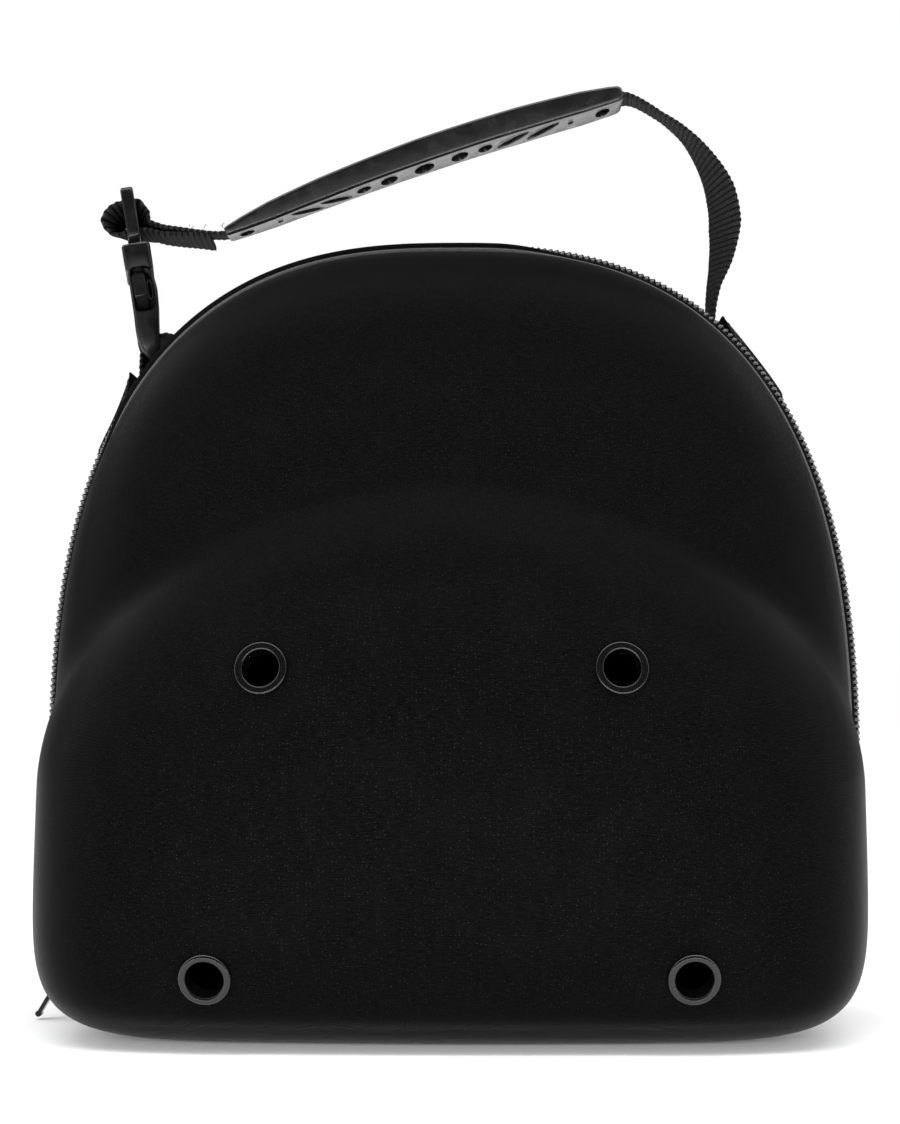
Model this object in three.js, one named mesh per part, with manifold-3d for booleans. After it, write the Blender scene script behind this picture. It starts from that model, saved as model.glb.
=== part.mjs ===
// Cap carrier: a zipped case of two moulded shells with a webbing carry strap.
// Millimetres, +Z up. The front faces -Y, and the zipper lies in the plane y = 0 until the last lines,
// which set the origin at the middle of the base.
import * as THREE from 'three';
import { mergeVertices } from 'three/addons/utils/BufferGeometryUtils.js';
import Module from 'manifold-3d';

const wasm = await Module();
wasm.setup();
const { clamp, degToRad, lerp, smoothstep } = THREE.MathUtils;

// Points nearer than MERGE are one, STEP is the small step for directions, HALVINGS ends a search
const MERGE = 1e-4;
const STEP = 1e-3;
const HALVINGS = 50;

// Case: outlines are superellipses about a centre line at CENTRE_Z, with a wider power below it
const CENTRE_Z = 75;
const HALF_WIDTH = 127.6;
const DROP = 75.6;
const RIM_RISE = 172;
const RIM_POWER = 2.62;
const RIM_CORNER = 4.9;
const BULGE_RISE = 104;
const BULGE_ARCH_POWER = 1.89;
const BULGE_CORNER = 7.6;
const CORNER_BLEND = 0.6;
const WALL = 4;
const HALF_GAP = 6;

// Depth of each form from its shell's rim, and how square its profile is
const DOME_DEPTH = 71;
const DOME_POWER = 3.2;
const DOME_STEP_IN = 2.4;
const DOME_STEP_ANGLE = 0.1;
const BULGE_DEPTH = 99;
const BULGE_POWER = 3.8;
const BULGE_ARCH_SWING = 0.86;
const BULGE_FOOT_SWING = 1.8;
const CREASE_WIDTH = 15;
const BACK_DEPTH = 66;
const BACK_POWER = 5;

// Columns of each skin, drawn together at the lower corners, and its rings
const COLUMNS = 64;
const CORNER_BUNCH = 0.07;
const BUNCHES = 6;
const FRONT_RINGS = 16;
const BACK_RINGS = 9;

// Eyelets: heights are above the skin, and the crown's rows run out from the hole
const EYELET = { radius: 7.7, hole: 5.4, barrel: 5.95, clearance: 0.3 };
const WASHER = { radius: 7.3, top: -(WALL + 0.9), thick: 0.7 };
const EYELET_CROWN = [
  { out: 0, height: 0.95 },
  { out: 0.6, height: 1.7 },
  { out: 1.3, height: 1.55 },
  { out: 2.3, height: 0.7 },
];
const EYELET_SIDES = 18;
const SEAT_REACH = 12;
const EYELETS = [
  { name: 'eyelet_upper_left', x: -53, z: 111 },
  { name: 'eyelet_upper_right', x: 50.5, z: 111 },
  { name: 'eyelet_lower_left', x: -70, z: 20.5 },
  { name: 'eyelet_lower_right', x: 71.5, z: 20.5 },
];

// Zipper, in offsets across (y) and out of the rim (n)
const TAPE_THICK = 1;
const TAPE_TOP = -0.2;
const TAPE_TUCK = -5.5;
const TAPE_REACH = 11;
const TAPE_INSET = 0.4;
const TAPE_MEET = 0.2;
const CHAIN_HALF = 3.5;
const CHAIN_FOOT = 0.1;
const CHAIN_TOP = 3.1;
const CHAIN_SHOULDER = { across: 1, down: 1.2 };
const HINGE_DROP = 0.3;
const ZIP_END_ANGLE = degToRad(-28);
const HINGE_END_ANGLE = degToRad(-28.6);
const ZIP_STEPS = 46;
const HINGE_STEPS = 18;

// Slider and pull
const SLIDER_ANGLE = degToRad(205.3);
const SLIDER = { length: 9, halfWidth: 5.2, top: 4.7, foot: 0.2, sideWall: 1.3, clearance: 0.3 };
const BAIL = { halfLength: 3.2, width: 2.4, bar: 6.05, roof: 1.2, cut: 1.6, sink: 0.3 };
const BAIL_OPENING = { half: 1.35, sides: 12 };
const PULL = { length: 16, halfWidth: 3.4, tipHalf: 2.4, thick: 1.3, bulb: 1, bulbSides: 10 };
const PULL_WINDOW = { start: 0.7, end: 5.2, half: 1.9, margin: 1 };
const PULL_LEAN = degToRad(31);

// Carry strap
const STRAP_Y = 25;
const WEB_WIDTH = 25;
const WEB_THICK = 1.7;
const STRAP_STEPS = 90;
const ANCHOR_STEPS = 40;
const PATCH = { thick: 1.8, skirt: 0.3, margin: 4, crown: 3.4, ramp: 0.11, footRamp: 0.18, flareEnd: 0.6 };
const PATCH_ACROSS = 10;
const PATCH_ALONG = 12;

// Grip: an arc from its left end to its right end
const GRIP_LEFT = { x: -76, z: 256.5 };
const GRIP_RIGHT = { x: 55.5, z: 302 };
const GRIP_ARCH = 3.6;
const GRIP_SLOT = { width: 26, height: 2.4, chamfer: 0.4 };
const GRIP_CHAMFER = 1.2;
const GRIP_STEPS = 16;
const GRIP_CUT_SIDES = 12;
const GRIP_RUN_STEPS = 8;
const GRIP_SECTIONS = [
  { along: 0, width: 27.4, thick: 4 },
  { along: 0.04, width: 28, thick: 5.4 },
  { along: 0.14, width: 29.4, thick: 7 },
  { along: 0.5, width: 30, thick: 7.6 },
  { along: 0.86, width: 29.4, thick: 7 },
  { along: 0.96, width: 28, thick: 5.6 },
  { along: 1, width: 27.4, thick: 4.4 },
];
const GRIP_CUTS = [
  { along: 0.1, length: 2.6, width: 9, turn: 0 },
  { along: 0.2, length: 4, width: 15, turn: -0.45 },
  { along: 0.29, length: 4, width: 15, turn: -0.45 },
  { along: 0.38, length: 6, width: 8, turn: 0 },
  { along: 0.5, length: 7, width: 7, turn: 0 },
  { along: 0.62, length: 6, width: 8, turn: 0 },
  { along: 0.71, length: 4, width: 15, turn: 0.45 },
  { along: 0.8, length: 4, width: 15, turn: 0.45 },
  { along: 0.9, length: 2.6, width: 9, turn: 0 },
];

// Buckle, in its own frame: its foot is at the origin and z runs along it
const BUCKLE_FOOT = { x: -100.3, z: 215.4 };
const BUCKLE_LEAN = degToRad(-9);
const BUCKLE_CHAMFER = 1.2;
const FEMALE = { length: 37.5, width: 33 };
const POCKET = { width: 27, thick: 4.8, foot: 11.5, over: 1 };
const FEMALE_SECTIONS = [
  { z: 0, width: 30, thick: 4.6 },
  { z: 3, width: 32, thick: 6 },
  { z: 12, width: 33, thick: 8.4 },
  { z: 31, width: 33, thick: 8.8 },
  { z: 32.4, width: 34, thick: 10 },
  { z: 37.5, width: 33.6, thick: 9.6 },
];
const FEMALE_SLOT = { foot: 3.4, head: 8.6, width: 26.5, through: 20 };
const FEMALE_WINDOW = { foot: 15, head: 28 };
const MALE = { foot: 38.1, head: 56, halfWidth: 16, corner: 2, thick: 4 };
const GUIDE = { foot: 17.5, half: 2.2 };
const PRONG = { foot: 15.6, inner: 8.6, outer: 12.6, bevel: 3, nose: 1.5 };
const BARB = { reach: 15.8, length: 4, clearance: 0.8 };
const MALE_SLOTS = [
  { foot: 41.4, head: 45.6 },
  { foot: 48.8, head: 53.4 },
];
const SLOT_HALF = 13;

// Centre line of the strap's free stretches, with the webbing's turn about its own length
const RIGHT_RUN = [
  { x: 59.5, z: 301.8, turn: -8 },
  { x: 69, z: 296.8, turn: -9 },
  { x: 77, z: 290.4, turn: -6 },
  { x: 84, z: 281, turn: 3 },
  { x: 88.5, z: 271, turn: 13 },
  { x: 90, z: 260, turn: 16.5 },
  { x: 88.6, z: 248, turn: 11 },
  { x: 86.2, z: 239, turn: 5 },
  { x: 85.6, z: 231, turn: 2 },
];
const LEFT_RUN = [
  { x: -80.5, z: 254.9 },
  { x: -87, z: 255.6 },
  { x: -95, z: 259.8 },
  { x: -101.5, z: 264.6 },
  { x: -108.4, z: 266.2 },
  { x: -113.6, z: 263.8 },
  { x: -114.4, z: 259.6 },
  { x: -111.2, z: 257 },
  { x: -106.6, z: 258.2 },
  { x: -100, z: 257.6 },
  { x: -93, z: 254 },
  { x: -87, z: 252.4 },
  { x: -81, z: 252 },
];
const ANCHOR_RUN = [
  { x: -91.8, z: 221.6 },
  { x: -96.4, z: 223.2 },
  { x: -101.3, z: 221.6 },
  { x: -105.2, z: 218.8 },
  { x: -104.7, z: 214.2 },
];

// Webbing on the back shell: direction in degrees about the centre line, and height above the skin
const RIGHT_TUCK = [
  { phi: 50.5, height: 1.35 },
  { phi: 54.5, height: 1.35 },
  { phi: 58, height: 1.5 },
  { phi: 60.6, height: 3.4 },
];
const ANCHOR_TUCK = [
  { phi: 136, height: 1.35 },
  { phi: 132, height: 1.35 },
  { phi: 128, height: 1.35 },
  { phi: 124.6, height: 1.35 },
  { phi: 122.6, height: 1.6 },
  { phi: 121.5, height: 3.6 },
];
const ANCHOR_LAP = [
  { phi: 127.7, height: 4.3 },
  { phi: 129.6, height: 3.35 },
];
const RIGHT_PATCH = { top: 60.5, foot: 48.5, flare: 5 };
const LEFT_PATCH = { top: 127.4, foot: 138, flare: 6.6 };

// Materials
const fabric = new THREE.MeshStandardMaterial({ color: 0x101011, roughness: 0.95, metalness: 0 });
const webbing = new THREE.MeshStandardMaterial({ color: 0x141416, roughness: 0.9, metalness: 0 });
const tapeCloth = new THREE.MeshStandardMaterial({ color: 0x161618, roughness: 0.9, metalness: 0 });
const coilPlastic = new THREE.MeshStandardMaterial({ color: 0x1c1c1e, roughness: 0.5, metalness: 0 });
const bucklePlastic = new THREE.MeshStandardMaterial({ color: 0x121214, roughness: 0.35, metalness: 0 });
const gripPlastic = new THREE.MeshStandardMaterial({ color: 0x121213, roughness: 0.45, metalness: 0 });
const enamel = new THREE.MeshStandardMaterial({ color: 0x0b0b0c, roughness: 0.2, metalness: 0.4 });

const group = new THREE.Group();
const ACROSS = new THREE.Vector3(0, 1, 0);

// Closed geometry from points and triangles, turned to face outwards
function closedGeometry(points, triangles) {
  let volume = 0;
  for (const [a, b, c] of triangles) {
    volume += points[a].dot(new THREE.Vector3().crossVectors(points[b], points[c]));
  }
  const faces = volume < 0 ? triangles.map(([a, b, c]) => [a, c, b]) : triangles;
  const geometry = new THREE.BufferGeometry();
  const numbers = points.flatMap((p) => p.toArray());
  geometry.setAttribute('position', new THREE.Float32BufferAttribute(numbers, 3));
  geometry.setIndex(faces.flat());
  geometry.computeVertexNormals();
  return geometry;
}

// Solid through rings of equal length, closed by flat ends
function loftGeometry(rings, outline) {
  const count = outline.length;
  const points = rings.flat();
  const triangles = [];
  for (let j = 0; j < rings.length - 1; j += 1) {
    for (let i = 0; i < count; i += 1) {
      const a = j * count + i;
      const b = j * count + ((i + 1) % count);
      triangles.push([a, b, b + count], [a, b + count, a + count]);
    }
  }
  const last = (rings.length - 1) * count;
  const flat = outline.map(([u, v]) => new THREE.Vector2(u, v));
  const clockwise = THREE.ShapeUtils.isClockWise(flat);
  for (const [a, b, c] of THREE.ShapeUtils.triangulateShape(flat, [])) {
    triangles.push(clockwise ? [a, b, c] : [a, c, b]);
    triangles.push(clockwise ? [last + a, last + c, last + b] : [last + a, last + b, last + c]);
  }
  return closedGeometry(points, triangles);
}

// Section's points on the other side of v, in the order that closes the outline
function mirrored(section) {
  return section.map(([u, v]) => [-u, v]).reverse();
}

// Section of (u, v) points carried along frames of an origin and two directions
function sweepGeometry(outline, frames) {
  const rings = frames.map(({ origin, u, v }) =>
    outline.map(([a, b]) => origin.clone().addScaledVector(u, a).addScaledVector(v, b)));
  return loftGeometry(rings, outline);
}

function addPiece(name, geometry, material, matrix) {
  const mesh = new THREE.Mesh(geometry, material);
  mesh.name = name;
  if (matrix) mesh.applyMatrix4(matrix);
  group.add(mesh);
  return mesh;
}

// Geometry with its shared points merged
function merge(geometry) {
  geometry.deleteAttribute('normal');
  geometry.deleteAttribute('uv');
  return mergeVertices(geometry, MERGE);
}

// Booleans
function toSolid(geometry, matrix) {
  const merged = merge(geometry.clone());
  if (matrix) merged.applyMatrix4(matrix);
  const vertProperties = new Float32Array(merged.attributes.position.array);
  const triVerts = new Uint32Array(merged.index.array);
  return new wasm.Manifold(new wasm.Mesh({ numProp: 3, vertProperties, triVerts }));
}

function toGeometry(solid) {
  const { vertProperties, triVerts } = solid.getMesh();
  const geometry = new THREE.BufferGeometry();
  geometry.setAttribute('position', new THREE.Float32BufferAttribute(vertProperties, 3));
  geometry.setIndex(Array.from(triVerts));
  geometry.computeVertexNormals();
  return geometry;
}

function cutGeometry(geometry, cutters) {
  let solid = toSolid(geometry);
  for (const { shape, matrix } of cutters) solid = solid.subtract(toSolid(shape, matrix));
  return toGeometry(solid);
}

// Box about the z axis between a foot and a head
function boxBetween(width, depth, { foot, head }) {
  const matrix = new THREE.Matrix4().makeTranslation(0, 0, (foot + head) / 2);
  return { shape: new THREE.BoxGeometry(width, depth, head - foot), matrix };
}

// Outline of the case in the direction phi about the centre line
function outlineRadius(phi, rise, archPower, corner) {
  const above = Math.sin(phi) >= 0;
  const power = above ? archPower : corner;
  const side = Math.abs(Math.cos(phi)) / HALF_WIDTH;
  const up = Math.abs(Math.sin(phi)) / (above ? rise : DROP);
  return (side ** power + up ** power) ** (-1 / power);
}

function rimRadius(phi) {
  return outlineRadius(phi, RIM_RISE, RIM_POWER, RIM_CORNER);
}

// Distance to a superellipse profile of a given radius and depth at the angle theta out of the rim
function profileRadius(theta, radius, depth, power) {
  return ((Math.cos(theta) / radius) ** power + (Math.sin(theta) / depth) ** power) ** (-1 / power);
}

function smoothMax(a, b, width) {
  const near = Math.max(0, 1 - Math.abs(a - b) / Math.max(width, MERGE));
  return Math.max(a, b) + width * near * near / 4;
}

function frontRadius(phi, theta, inset) {
  const corner = lerp(RIM_CORNER, BULGE_CORNER, smoothstep(theta, 0, CORNER_BLEND));
  const rim = outlineRadius(phi, RIM_RISE, RIM_POWER, corner) - inset;
  const arch = outlineRadius(phi, BULGE_RISE, BULGE_ARCH_POWER, corner) - inset;
  const stepIn = DOME_STEP_IN * smoothstep(theta, 0, DOME_STEP_ANGLE);
  const dome = profileRadius(theta, rim - stepIn, DOME_DEPTH - inset, DOME_POWER);
  const swing = Math.sin(phi) > 0 ? BULGE_ARCH_SWING : BULGE_FOOT_SWING;
  const squareness = BULGE_POWER - swing * Math.sin(phi);
  const bulge = profileRadius(theta, arch, BULGE_DEPTH - inset, squareness);
  return smoothMax(dome, bulge, CREASE_WIDTH * Math.sin(theta));
}

function backRadius(phi, theta, inset) {
  return profileRadius(theta, rimRadius(phi) - inset, BACK_DEPTH - inset, BACK_POWER);
}

// Point of a shell: side is -1 for the front and +1 for the back
function shellPoint(radiusAt, side, phi, theta, inset) {
  const reach = radiusAt(phi, theta, inset);
  const out = reach * Math.cos(theta);
  const z = Math.max(inset, CENTRE_Z + out * Math.sin(phi));
  return new THREE.Vector3(out * Math.cos(phi), side * (HALF_GAP + reach * Math.sin(theta)), z);
}

function shellNormal(radiusAt, side, phi, theta) {
  const here = shellPoint(radiusAt, side, phi, theta, 0);
  const round = shellPoint(radiusAt, side, phi + STEP, theta, 0).sub(here);
  const deeper = shellPoint(radiusAt, side, phi, theta + STEP, 0).sub(here);
  return new THREE.Vector3().crossVectors(round, deeper).multiplyScalar(-side).normalize();
}

function columnAngle(i) {
  const even = (i / COLUMNS) * 2 * Math.PI;
  return even + CORNER_BUNCH * Math.sin(BUNCHES * even);
}

// Padded shell: outer and inner skins as rings about the centre line, joined by a flat rim
function shellGeometry(radiusAt, side, ringCount) {
  const points = [];
  const triangles = [];
  const skin = (inset, flip) => {
    const first = points.length;
    const face = (a, b, c) => triangles.push(flip ? [a, c, b] : [a, b, c]);
    for (let j = 0; j < ringCount; j += 1) {
      const theta = (j / ringCount) * Math.PI / 2;
      for (let i = 0; i < COLUMNS; i += 1) {
        points.push(shellPoint(radiusAt, side, columnAngle(i), theta, inset));
      }
    }
    points.push(shellPoint(radiusAt, side, 0, Math.PI / 2, inset));
    const pole = points.length - 1;
    for (let i = 0; i < COLUMNS; i += 1) {
      const next = (i + 1) % COLUMNS;
      for (let j = 0; j < ringCount - 1; j += 1) {
        const a = first + j * COLUMNS + i;
        const b = first + j * COLUMNS + next;
        face(a, b, b + COLUMNS);
        face(a, b + COLUMNS, a + COLUMNS);
      }
      const top = first + (ringCount - 1) * COLUMNS;
      face(top + i, top + next, pole);
    }
    return first;
  };
  const outer = skin(0, false);
  const inner = skin(WALL, true);
  for (let i = 0; i < COLUMNS; i += 1) {
    const next = (i + 1) % COLUMNS;
    triangles.push([outer + i, inner + next, outer + next], [outer + i, inner + i, inner + next]);
  }
  return closedGeometry(points, triangles);
}

// Place on the front shell whose x and z are given, with the outward direction there
function frontPlace(x, z) {
  const phi = Math.atan2(z - CENTRE_Z, x);
  const wanted = Math.hypot(x, z - CENTRE_Z);
  let low = 0;
  let high = Math.PI / 2;
  for (let k = 0; k < HALVINGS; k += 1) {
    const theta = (low + high) / 2;
    if (frontRadius(phi, theta, 0) * Math.cos(theta) > wanted) low = theta;
    else high = theta;
  }
  const point = shellPoint(frontRadius, -1, phi, low, 0);
  return { point, normal: shellNormal(frontRadius, -1, phi, low) };
}

// Cylinder about the eyelet's axis between two heights
function diskBetween(radius, low, high) {
  const disk = new THREE.CylinderGeometry(radius, radius, high - low, EYELET_SIDES);
  return disk.translate(0, (low + high) / 2, 0);
}

function outward(geometry) {
  const { position } = geometry.attributes;
  const point = (_, i) => new THREE.Vector3().fromBufferAttribute(position, i);
  const points = Array.from({ length: position.count }, point);
  const triangles = [];
  for (let i = 0; i < geometry.index.count; i += 3) {
    triangles.push([0, 1, 2].map((k) => geometry.index.getX(i + k)));
  }
  return closedGeometry(points, triangles);
}

// Eyelets: each a lathe about the shell's outward direction, set in a hole through the wall
const washerFoot = WASHER.top - WASHER.thick;
const eyeletProfile = [
  ...EYELET_CROWN.map(({ out, height }) => [EYELET.hole + out, height]),
  [EYELET.radius, EYELET.clearance],
  [EYELET.barrel, EYELET.clearance],
  [EYELET.barrel, WASHER.top],
  [WASHER.radius, WASHER.top],
  [WASHER.radius, washerFoot],
  [EYELET.hole, washerFoot],
  [EYELET.hole, EYELET_CROWN[0].height],
];
const eyeletCurve = eyeletProfile.map(([r, h]) => new THREE.Vector2(r, h));
const eyeletBore = EYELET.barrel + EYELET.clearance;
const eyeletSeat = EYELET.radius + EYELET.clearance;
const eyeletCuts = [
  diskBetween(eyeletBore, -SEAT_REACH, SEAT_REACH),
  diskBetween(eyeletSeat, 0, SEAT_REACH),
  diskBetween(eyeletSeat, -SEAT_REACH, WASHER.top + EYELET.clearance),
];
const eyeletHoles = [];
for (const { name, x, z } of EYELETS) {
  const { point, normal } = frontPlace(x, z);
  const turn = new THREE.Quaternion().setFromUnitVectors(ACROSS, normal);
  const matrix = new THREE.Matrix4().compose(point, turn, new THREE.Vector3(1, 1, 1));
  addPiece(name, outward(merge(new THREE.LatheGeometry(eyeletCurve, EYELET_SIDES))), enamel, matrix);
  eyeletHoles.push(...eyeletCuts.map((shape) => ({ shape, matrix })));
}

const frontWall = shellGeometry(frontRadius, -1, FRONT_RINGS);
addPiece('front_shell', cutGeometry(frontWall, eyeletHoles), fabric);
addPiece('back_shell', shellGeometry(backRadius, 1, BACK_RINGS), fabric);

// Frame on the rim's outline: u runs across the rim and v points out of it
function rimPoint(phi) {
  const reach = rimRadius(phi);
  return new THREE.Vector3(reach * Math.cos(phi), 0, Math.max(0, CENTRE_Z + reach * Math.sin(phi)));
}

function rimFrame(phi) {
  const along = rimPoint(phi + STEP).sub(rimPoint(phi - STEP)).normalize();
  return { origin: rimPoint(phi), u: ACROSS, v: new THREE.Vector3(along.z, 0, -along.x), along };
}

function rimFrames(from, to, steps) {
  return Array.from({ length: steps + 1 }, (_, i) => rimFrame(lerp(from, to, i / steps)));
}

// Zipper: each tape tucks inside its shell, rises through the gap and carries half of the chain
const tapeEdge = HALF_GAP - TAPE_INSET;
const tapeSection = [
  [TAPE_REACH, TAPE_TUCK - TAPE_THICK],
  [TAPE_REACH, TAPE_TUCK],
  [tapeEdge, TAPE_TUCK],
  [tapeEdge - TAPE_THICK, TAPE_TOP],
  [TAPE_MEET, TAPE_TOP],
  [TAPE_MEET, TAPE_TOP - TAPE_THICK],
  [tapeEdge - 2 * TAPE_THICK, TAPE_TOP - TAPE_THICK],
  [tapeEdge - TAPE_THICK, TAPE_TUCK - TAPE_THICK],
];
const chainSection = [
  [-CHAIN_HALF, CHAIN_FOOT],
  [-CHAIN_HALF, CHAIN_TOP - CHAIN_SHOULDER.down],
  [-CHAIN_HALF + CHAIN_SHOULDER.across, CHAIN_TOP],
  [CHAIN_HALF - CHAIN_SHOULDER.across, CHAIN_TOP],
  [CHAIN_HALF, CHAIN_TOP - CHAIN_SHOULDER.down],
  [CHAIN_HALF, CHAIN_FOOT],
];
const hingeTop = TAPE_TOP - HINGE_DROP;
const hingeHalf = [
  [TAPE_REACH, TAPE_TUCK],
  [tapeEdge, TAPE_TUCK],
  [tapeEdge - TAPE_THICK, hingeTop],
];
const hingeUnder = [
  [tapeEdge - 2 * TAPE_THICK, hingeTop - TAPE_THICK],
  [tapeEdge - TAPE_THICK, TAPE_TUCK - TAPE_THICK],
  [TAPE_REACH, TAPE_TUCK - TAPE_THICK],
];
const hingeSection = [...hingeHalf, ...mirrored(hingeHalf), ...mirrored(hingeUnder), ...hingeUnder];
const zipFrames = rimFrames(ZIP_END_ANGLE, Math.PI - ZIP_END_ANGLE, ZIP_STEPS);
addPiece('zipper_tape_front', sweepGeometry(mirrored(tapeSection), zipFrames), tapeCloth);
addPiece('zipper_tape_back', sweepGeometry(tapeSection, zipFrames), tapeCloth);
addPiece('zipper_chain', sweepGeometry(chainSection, zipFrames), coilPlastic);
const hingeFrames = rimFrames(HINGE_END_ANGLE, -Math.PI - HINGE_END_ANGLE, HINGE_STEPS);
addPiece('hinge_tape', sweepGeometry(hingeSection, hingeFrames), tapeCloth);

// Slider: a channel over the chain, with a bail whose opening holds the pull's bar
function shapeOf(points) {
  return new THREE.Shape(points.map(([u, v]) => new THREE.Vector2(u, v)));
}

function extruded(shape, depth) {
  const geometry = new THREE.ExtrudeGeometry(shape, { depth, bevelEnabled: false });
  return geometry.translate(0, 0, -depth / 2);
}

const sliderInner = SLIDER.halfWidth - SLIDER.sideWall;
const sliderRoof = CHAIN_TOP + SLIDER.clearance;
const channel = extruded(shapeOf([
  [-SLIDER.halfWidth, SLIDER.foot],
  [-SLIDER.halfWidth, SLIDER.top],
  [SLIDER.halfWidth, SLIDER.top],
  [SLIDER.halfWidth, SLIDER.foot],
  [sliderInner, SLIDER.foot],
  [sliderInner, sliderRoof],
  [-sliderInner, sliderRoof],
  [-sliderInner, SLIDER.foot],
]), SLIDER.length);
const alongAxis = new THREE.Vector3(1, 0, 0);
const upAxis = new THREE.Vector3(0, 0, 1);
channel.applyMatrix4(new THREE.Matrix4().makeBasis(ACROSS, upAxis, alongAxis));
const bailTop = BAIL.bar + BAIL_OPENING.half + BAIL.roof;
const bailShape = shapeOf([
  [-BAIL.halfLength, SLIDER.top - BAIL.sink],
  [-BAIL.halfLength, bailTop - BAIL.cut],
  [-BAIL.halfLength + BAIL.cut, bailTop],
  [BAIL.halfLength - BAIL.cut, bailTop],
  [BAIL.halfLength, bailTop - BAIL.cut],
  [BAIL.halfLength, SLIDER.top - BAIL.sink],
]);
const bailOpen = Array.from({ length: BAIL_OPENING.sides }, (_, i) => {
  const angle = (2 * Math.PI * i) / BAIL_OPENING.sides;
  const [across, up] = [Math.cos(angle), Math.sin(angle)];
  return new THREE.Vector2(BAIL_OPENING.half * across, BAIL.bar + BAIL_OPENING.half * up);
});
bailShape.holes.push(new THREE.Path(bailOpen));
const bail = extruded(bailShape, BAIL.width);
bail.applyMatrix4(new THREE.Matrix4().makeBasis(alongAxis, upAxis, ACROSS.clone().negate()));
const sliderFrame = rimFrame(SLIDER_ANGLE);
const sliderAlong = new THREE.Vector3().crossVectors(ACROSS, sliderFrame.v);
const sliderMatrix = new THREE.Matrix4()
  .makeBasis(sliderAlong, ACROSS, sliderFrame.v)
  .setPosition(sliderFrame.origin);
const sliderBody = toSolid(channel).add(toSolid(bail));
addPiece('zipper_slider', toGeometry(sliderBody), bucklePlastic, sliderMatrix);

// Pull: a flat tab with a window round the bail and a bulbed tip, leaning down to the left
const pullShoulder = PULL_WINDOW.end + PULL_WINDOW.margin;
const pullNeck = PULL.length - PULL.bulb;
const pullShape = shapeOf([
  [-PULL_WINDOW.start, -PULL.halfWidth],
  [-PULL_WINDOW.start, PULL.halfWidth],
  [pullShoulder, PULL.halfWidth],
  [pullNeck, PULL.tipHalf],
  [pullNeck, -PULL.tipHalf],
  [pullShoulder, -PULL.halfWidth],
]);
pullShape.holes.push(new THREE.Path([
  new THREE.Vector2(PULL_WINDOW.start, -PULL_WINDOW.half),
  new THREE.Vector2(PULL_WINDOW.end, -PULL_WINDOW.half),
  new THREE.Vector2(PULL_WINDOW.end, PULL_WINDOW.half),
  new THREE.Vector2(PULL_WINDOW.start, PULL_WINDOW.half),
]));
const pullTab = extruded(pullShape, PULL.thick);
const pullBulb = new THREE.CylinderGeometry(PULL.bulb, PULL.bulb, 2 * PULL.tipHalf, PULL.bulbSides);
pullBulb.translate(pullNeck, 0, 0);
const pullBar = sliderFrame.origin.clone().addScaledVector(sliderFrame.v, BAIL.bar);
const pullDirection = new THREE.Vector3(-Math.sin(PULL_LEAN), 0, -Math.cos(PULL_LEAN));
const pullFlat = new THREE.Vector3().crossVectors(pullDirection, ACROSS);
const pullMatrix = new THREE.Matrix4().makeBasis(pullDirection, ACROSS, pullFlat).setPosition(pullBar);
const pullBody = toSolid(pullTab).add(toSolid(pullBulb));
addPiece('zipper_pull', toGeometry(pullBody), bucklePlastic, pullMatrix);

// Place on the back shell's side wall: depth from its rim, height above its skin
function backPlace(degrees, depth, height) {
  const phi = degToRad(degrees);
  const at = (angle, down) => {
    const reach = rimRadius(angle) * (1 - (down / BACK_DEPTH) ** BACK_POWER) ** (1 / BACK_POWER);
    return new THREE.Vector3(reach * Math.cos(angle), HALF_GAP + down, CENTRE_Z + reach * Math.sin(angle));
  };
  const round = at(phi + STEP, depth).sub(at(phi - STEP, depth));
  const deeper = at(phi, depth + STEP).sub(at(phi, depth - STEP));
  const normal = new THREE.Vector3().crossVectors(deeper, round).normalize();
  return at(phi, depth).addScaledVector(normal, height);
}

// Patch: a square of cloth on the shell that rises over the webbing and stands open at its top edge
function patchGeometry({ top, foot, flare }) {
  const front = STRAP_Y - WEB_WIDTH / 2 - PATCH.margin - HALF_GAP;
  const back = STRAP_Y + WEB_WIDTH / 2 + PATCH.margin - HALF_GAP;
  const lift = (t, hold) => smoothstep(t, 0, hold);
  const points = [];
  const triangles = [];
  const columns = PATCH_ALONG + 1;
  for (const raise of [0, PATCH.thick]) {
    for (let j = 0; j <= PATCH_ACROSS; j += 1) {
      for (let i = 0; i <= PATCH_ALONG; i += 1) {
        const s = i / PATCH_ALONG;
        const t = j / PATCH_ACROSS;
        const rise = lift(t, PATCH.ramp) * lift(1 - t, PATCH.ramp) * lift(1 - s, PATCH.footRamp);
        const open = Math.max(0, 1 - s / PATCH.flareEnd) ** 2;
        const height = PATCH.skirt + lerp(PATCH.crown * rise, flare, open) + raise;
        points.push(backPlace(lerp(top, foot, s), lerp(front, back, t), height));
      }
    }
  }
  const layer = points.length / 2;
  for (let j = 0; j < PATCH_ACROSS; j += 1) {
    for (let i = 0; i < PATCH_ALONG; i += 1) {
      const a = j * columns + i;
      const d = a + columns;
      triangles.push([a, a + 1, d + 1], [a, d + 1, d]);
      triangles.push([layer + a, layer + d + 1, layer + a + 1], [layer + a, layer + d, layer + d + 1]);
    }
  }
  const wall = (a, b) => triangles.push([a, layer + b, b], [a, layer + a, layer + b]);
  for (let i = 0; i < PATCH_ALONG; i += 1) {
    wall(i, i + 1);
    wall(PATCH_ACROSS * columns + i + 1, PATCH_ACROSS * columns + i);
  }
  for (let j = 0; j < PATCH_ACROSS; j += 1) {
    wall((j + 1) * columns, j * columns);
    wall(j * columns + PATCH_ALONG, (j + 1) * columns + PATCH_ALONG);
  }
  return closedGeometry(points, triangles);
}

addPiece('strap_patch_left', patchGeometry(LEFT_PATCH), fabric);
addPiece('strap_patch_right', patchGeometry(RIGHT_PATCH), fabric);

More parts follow.
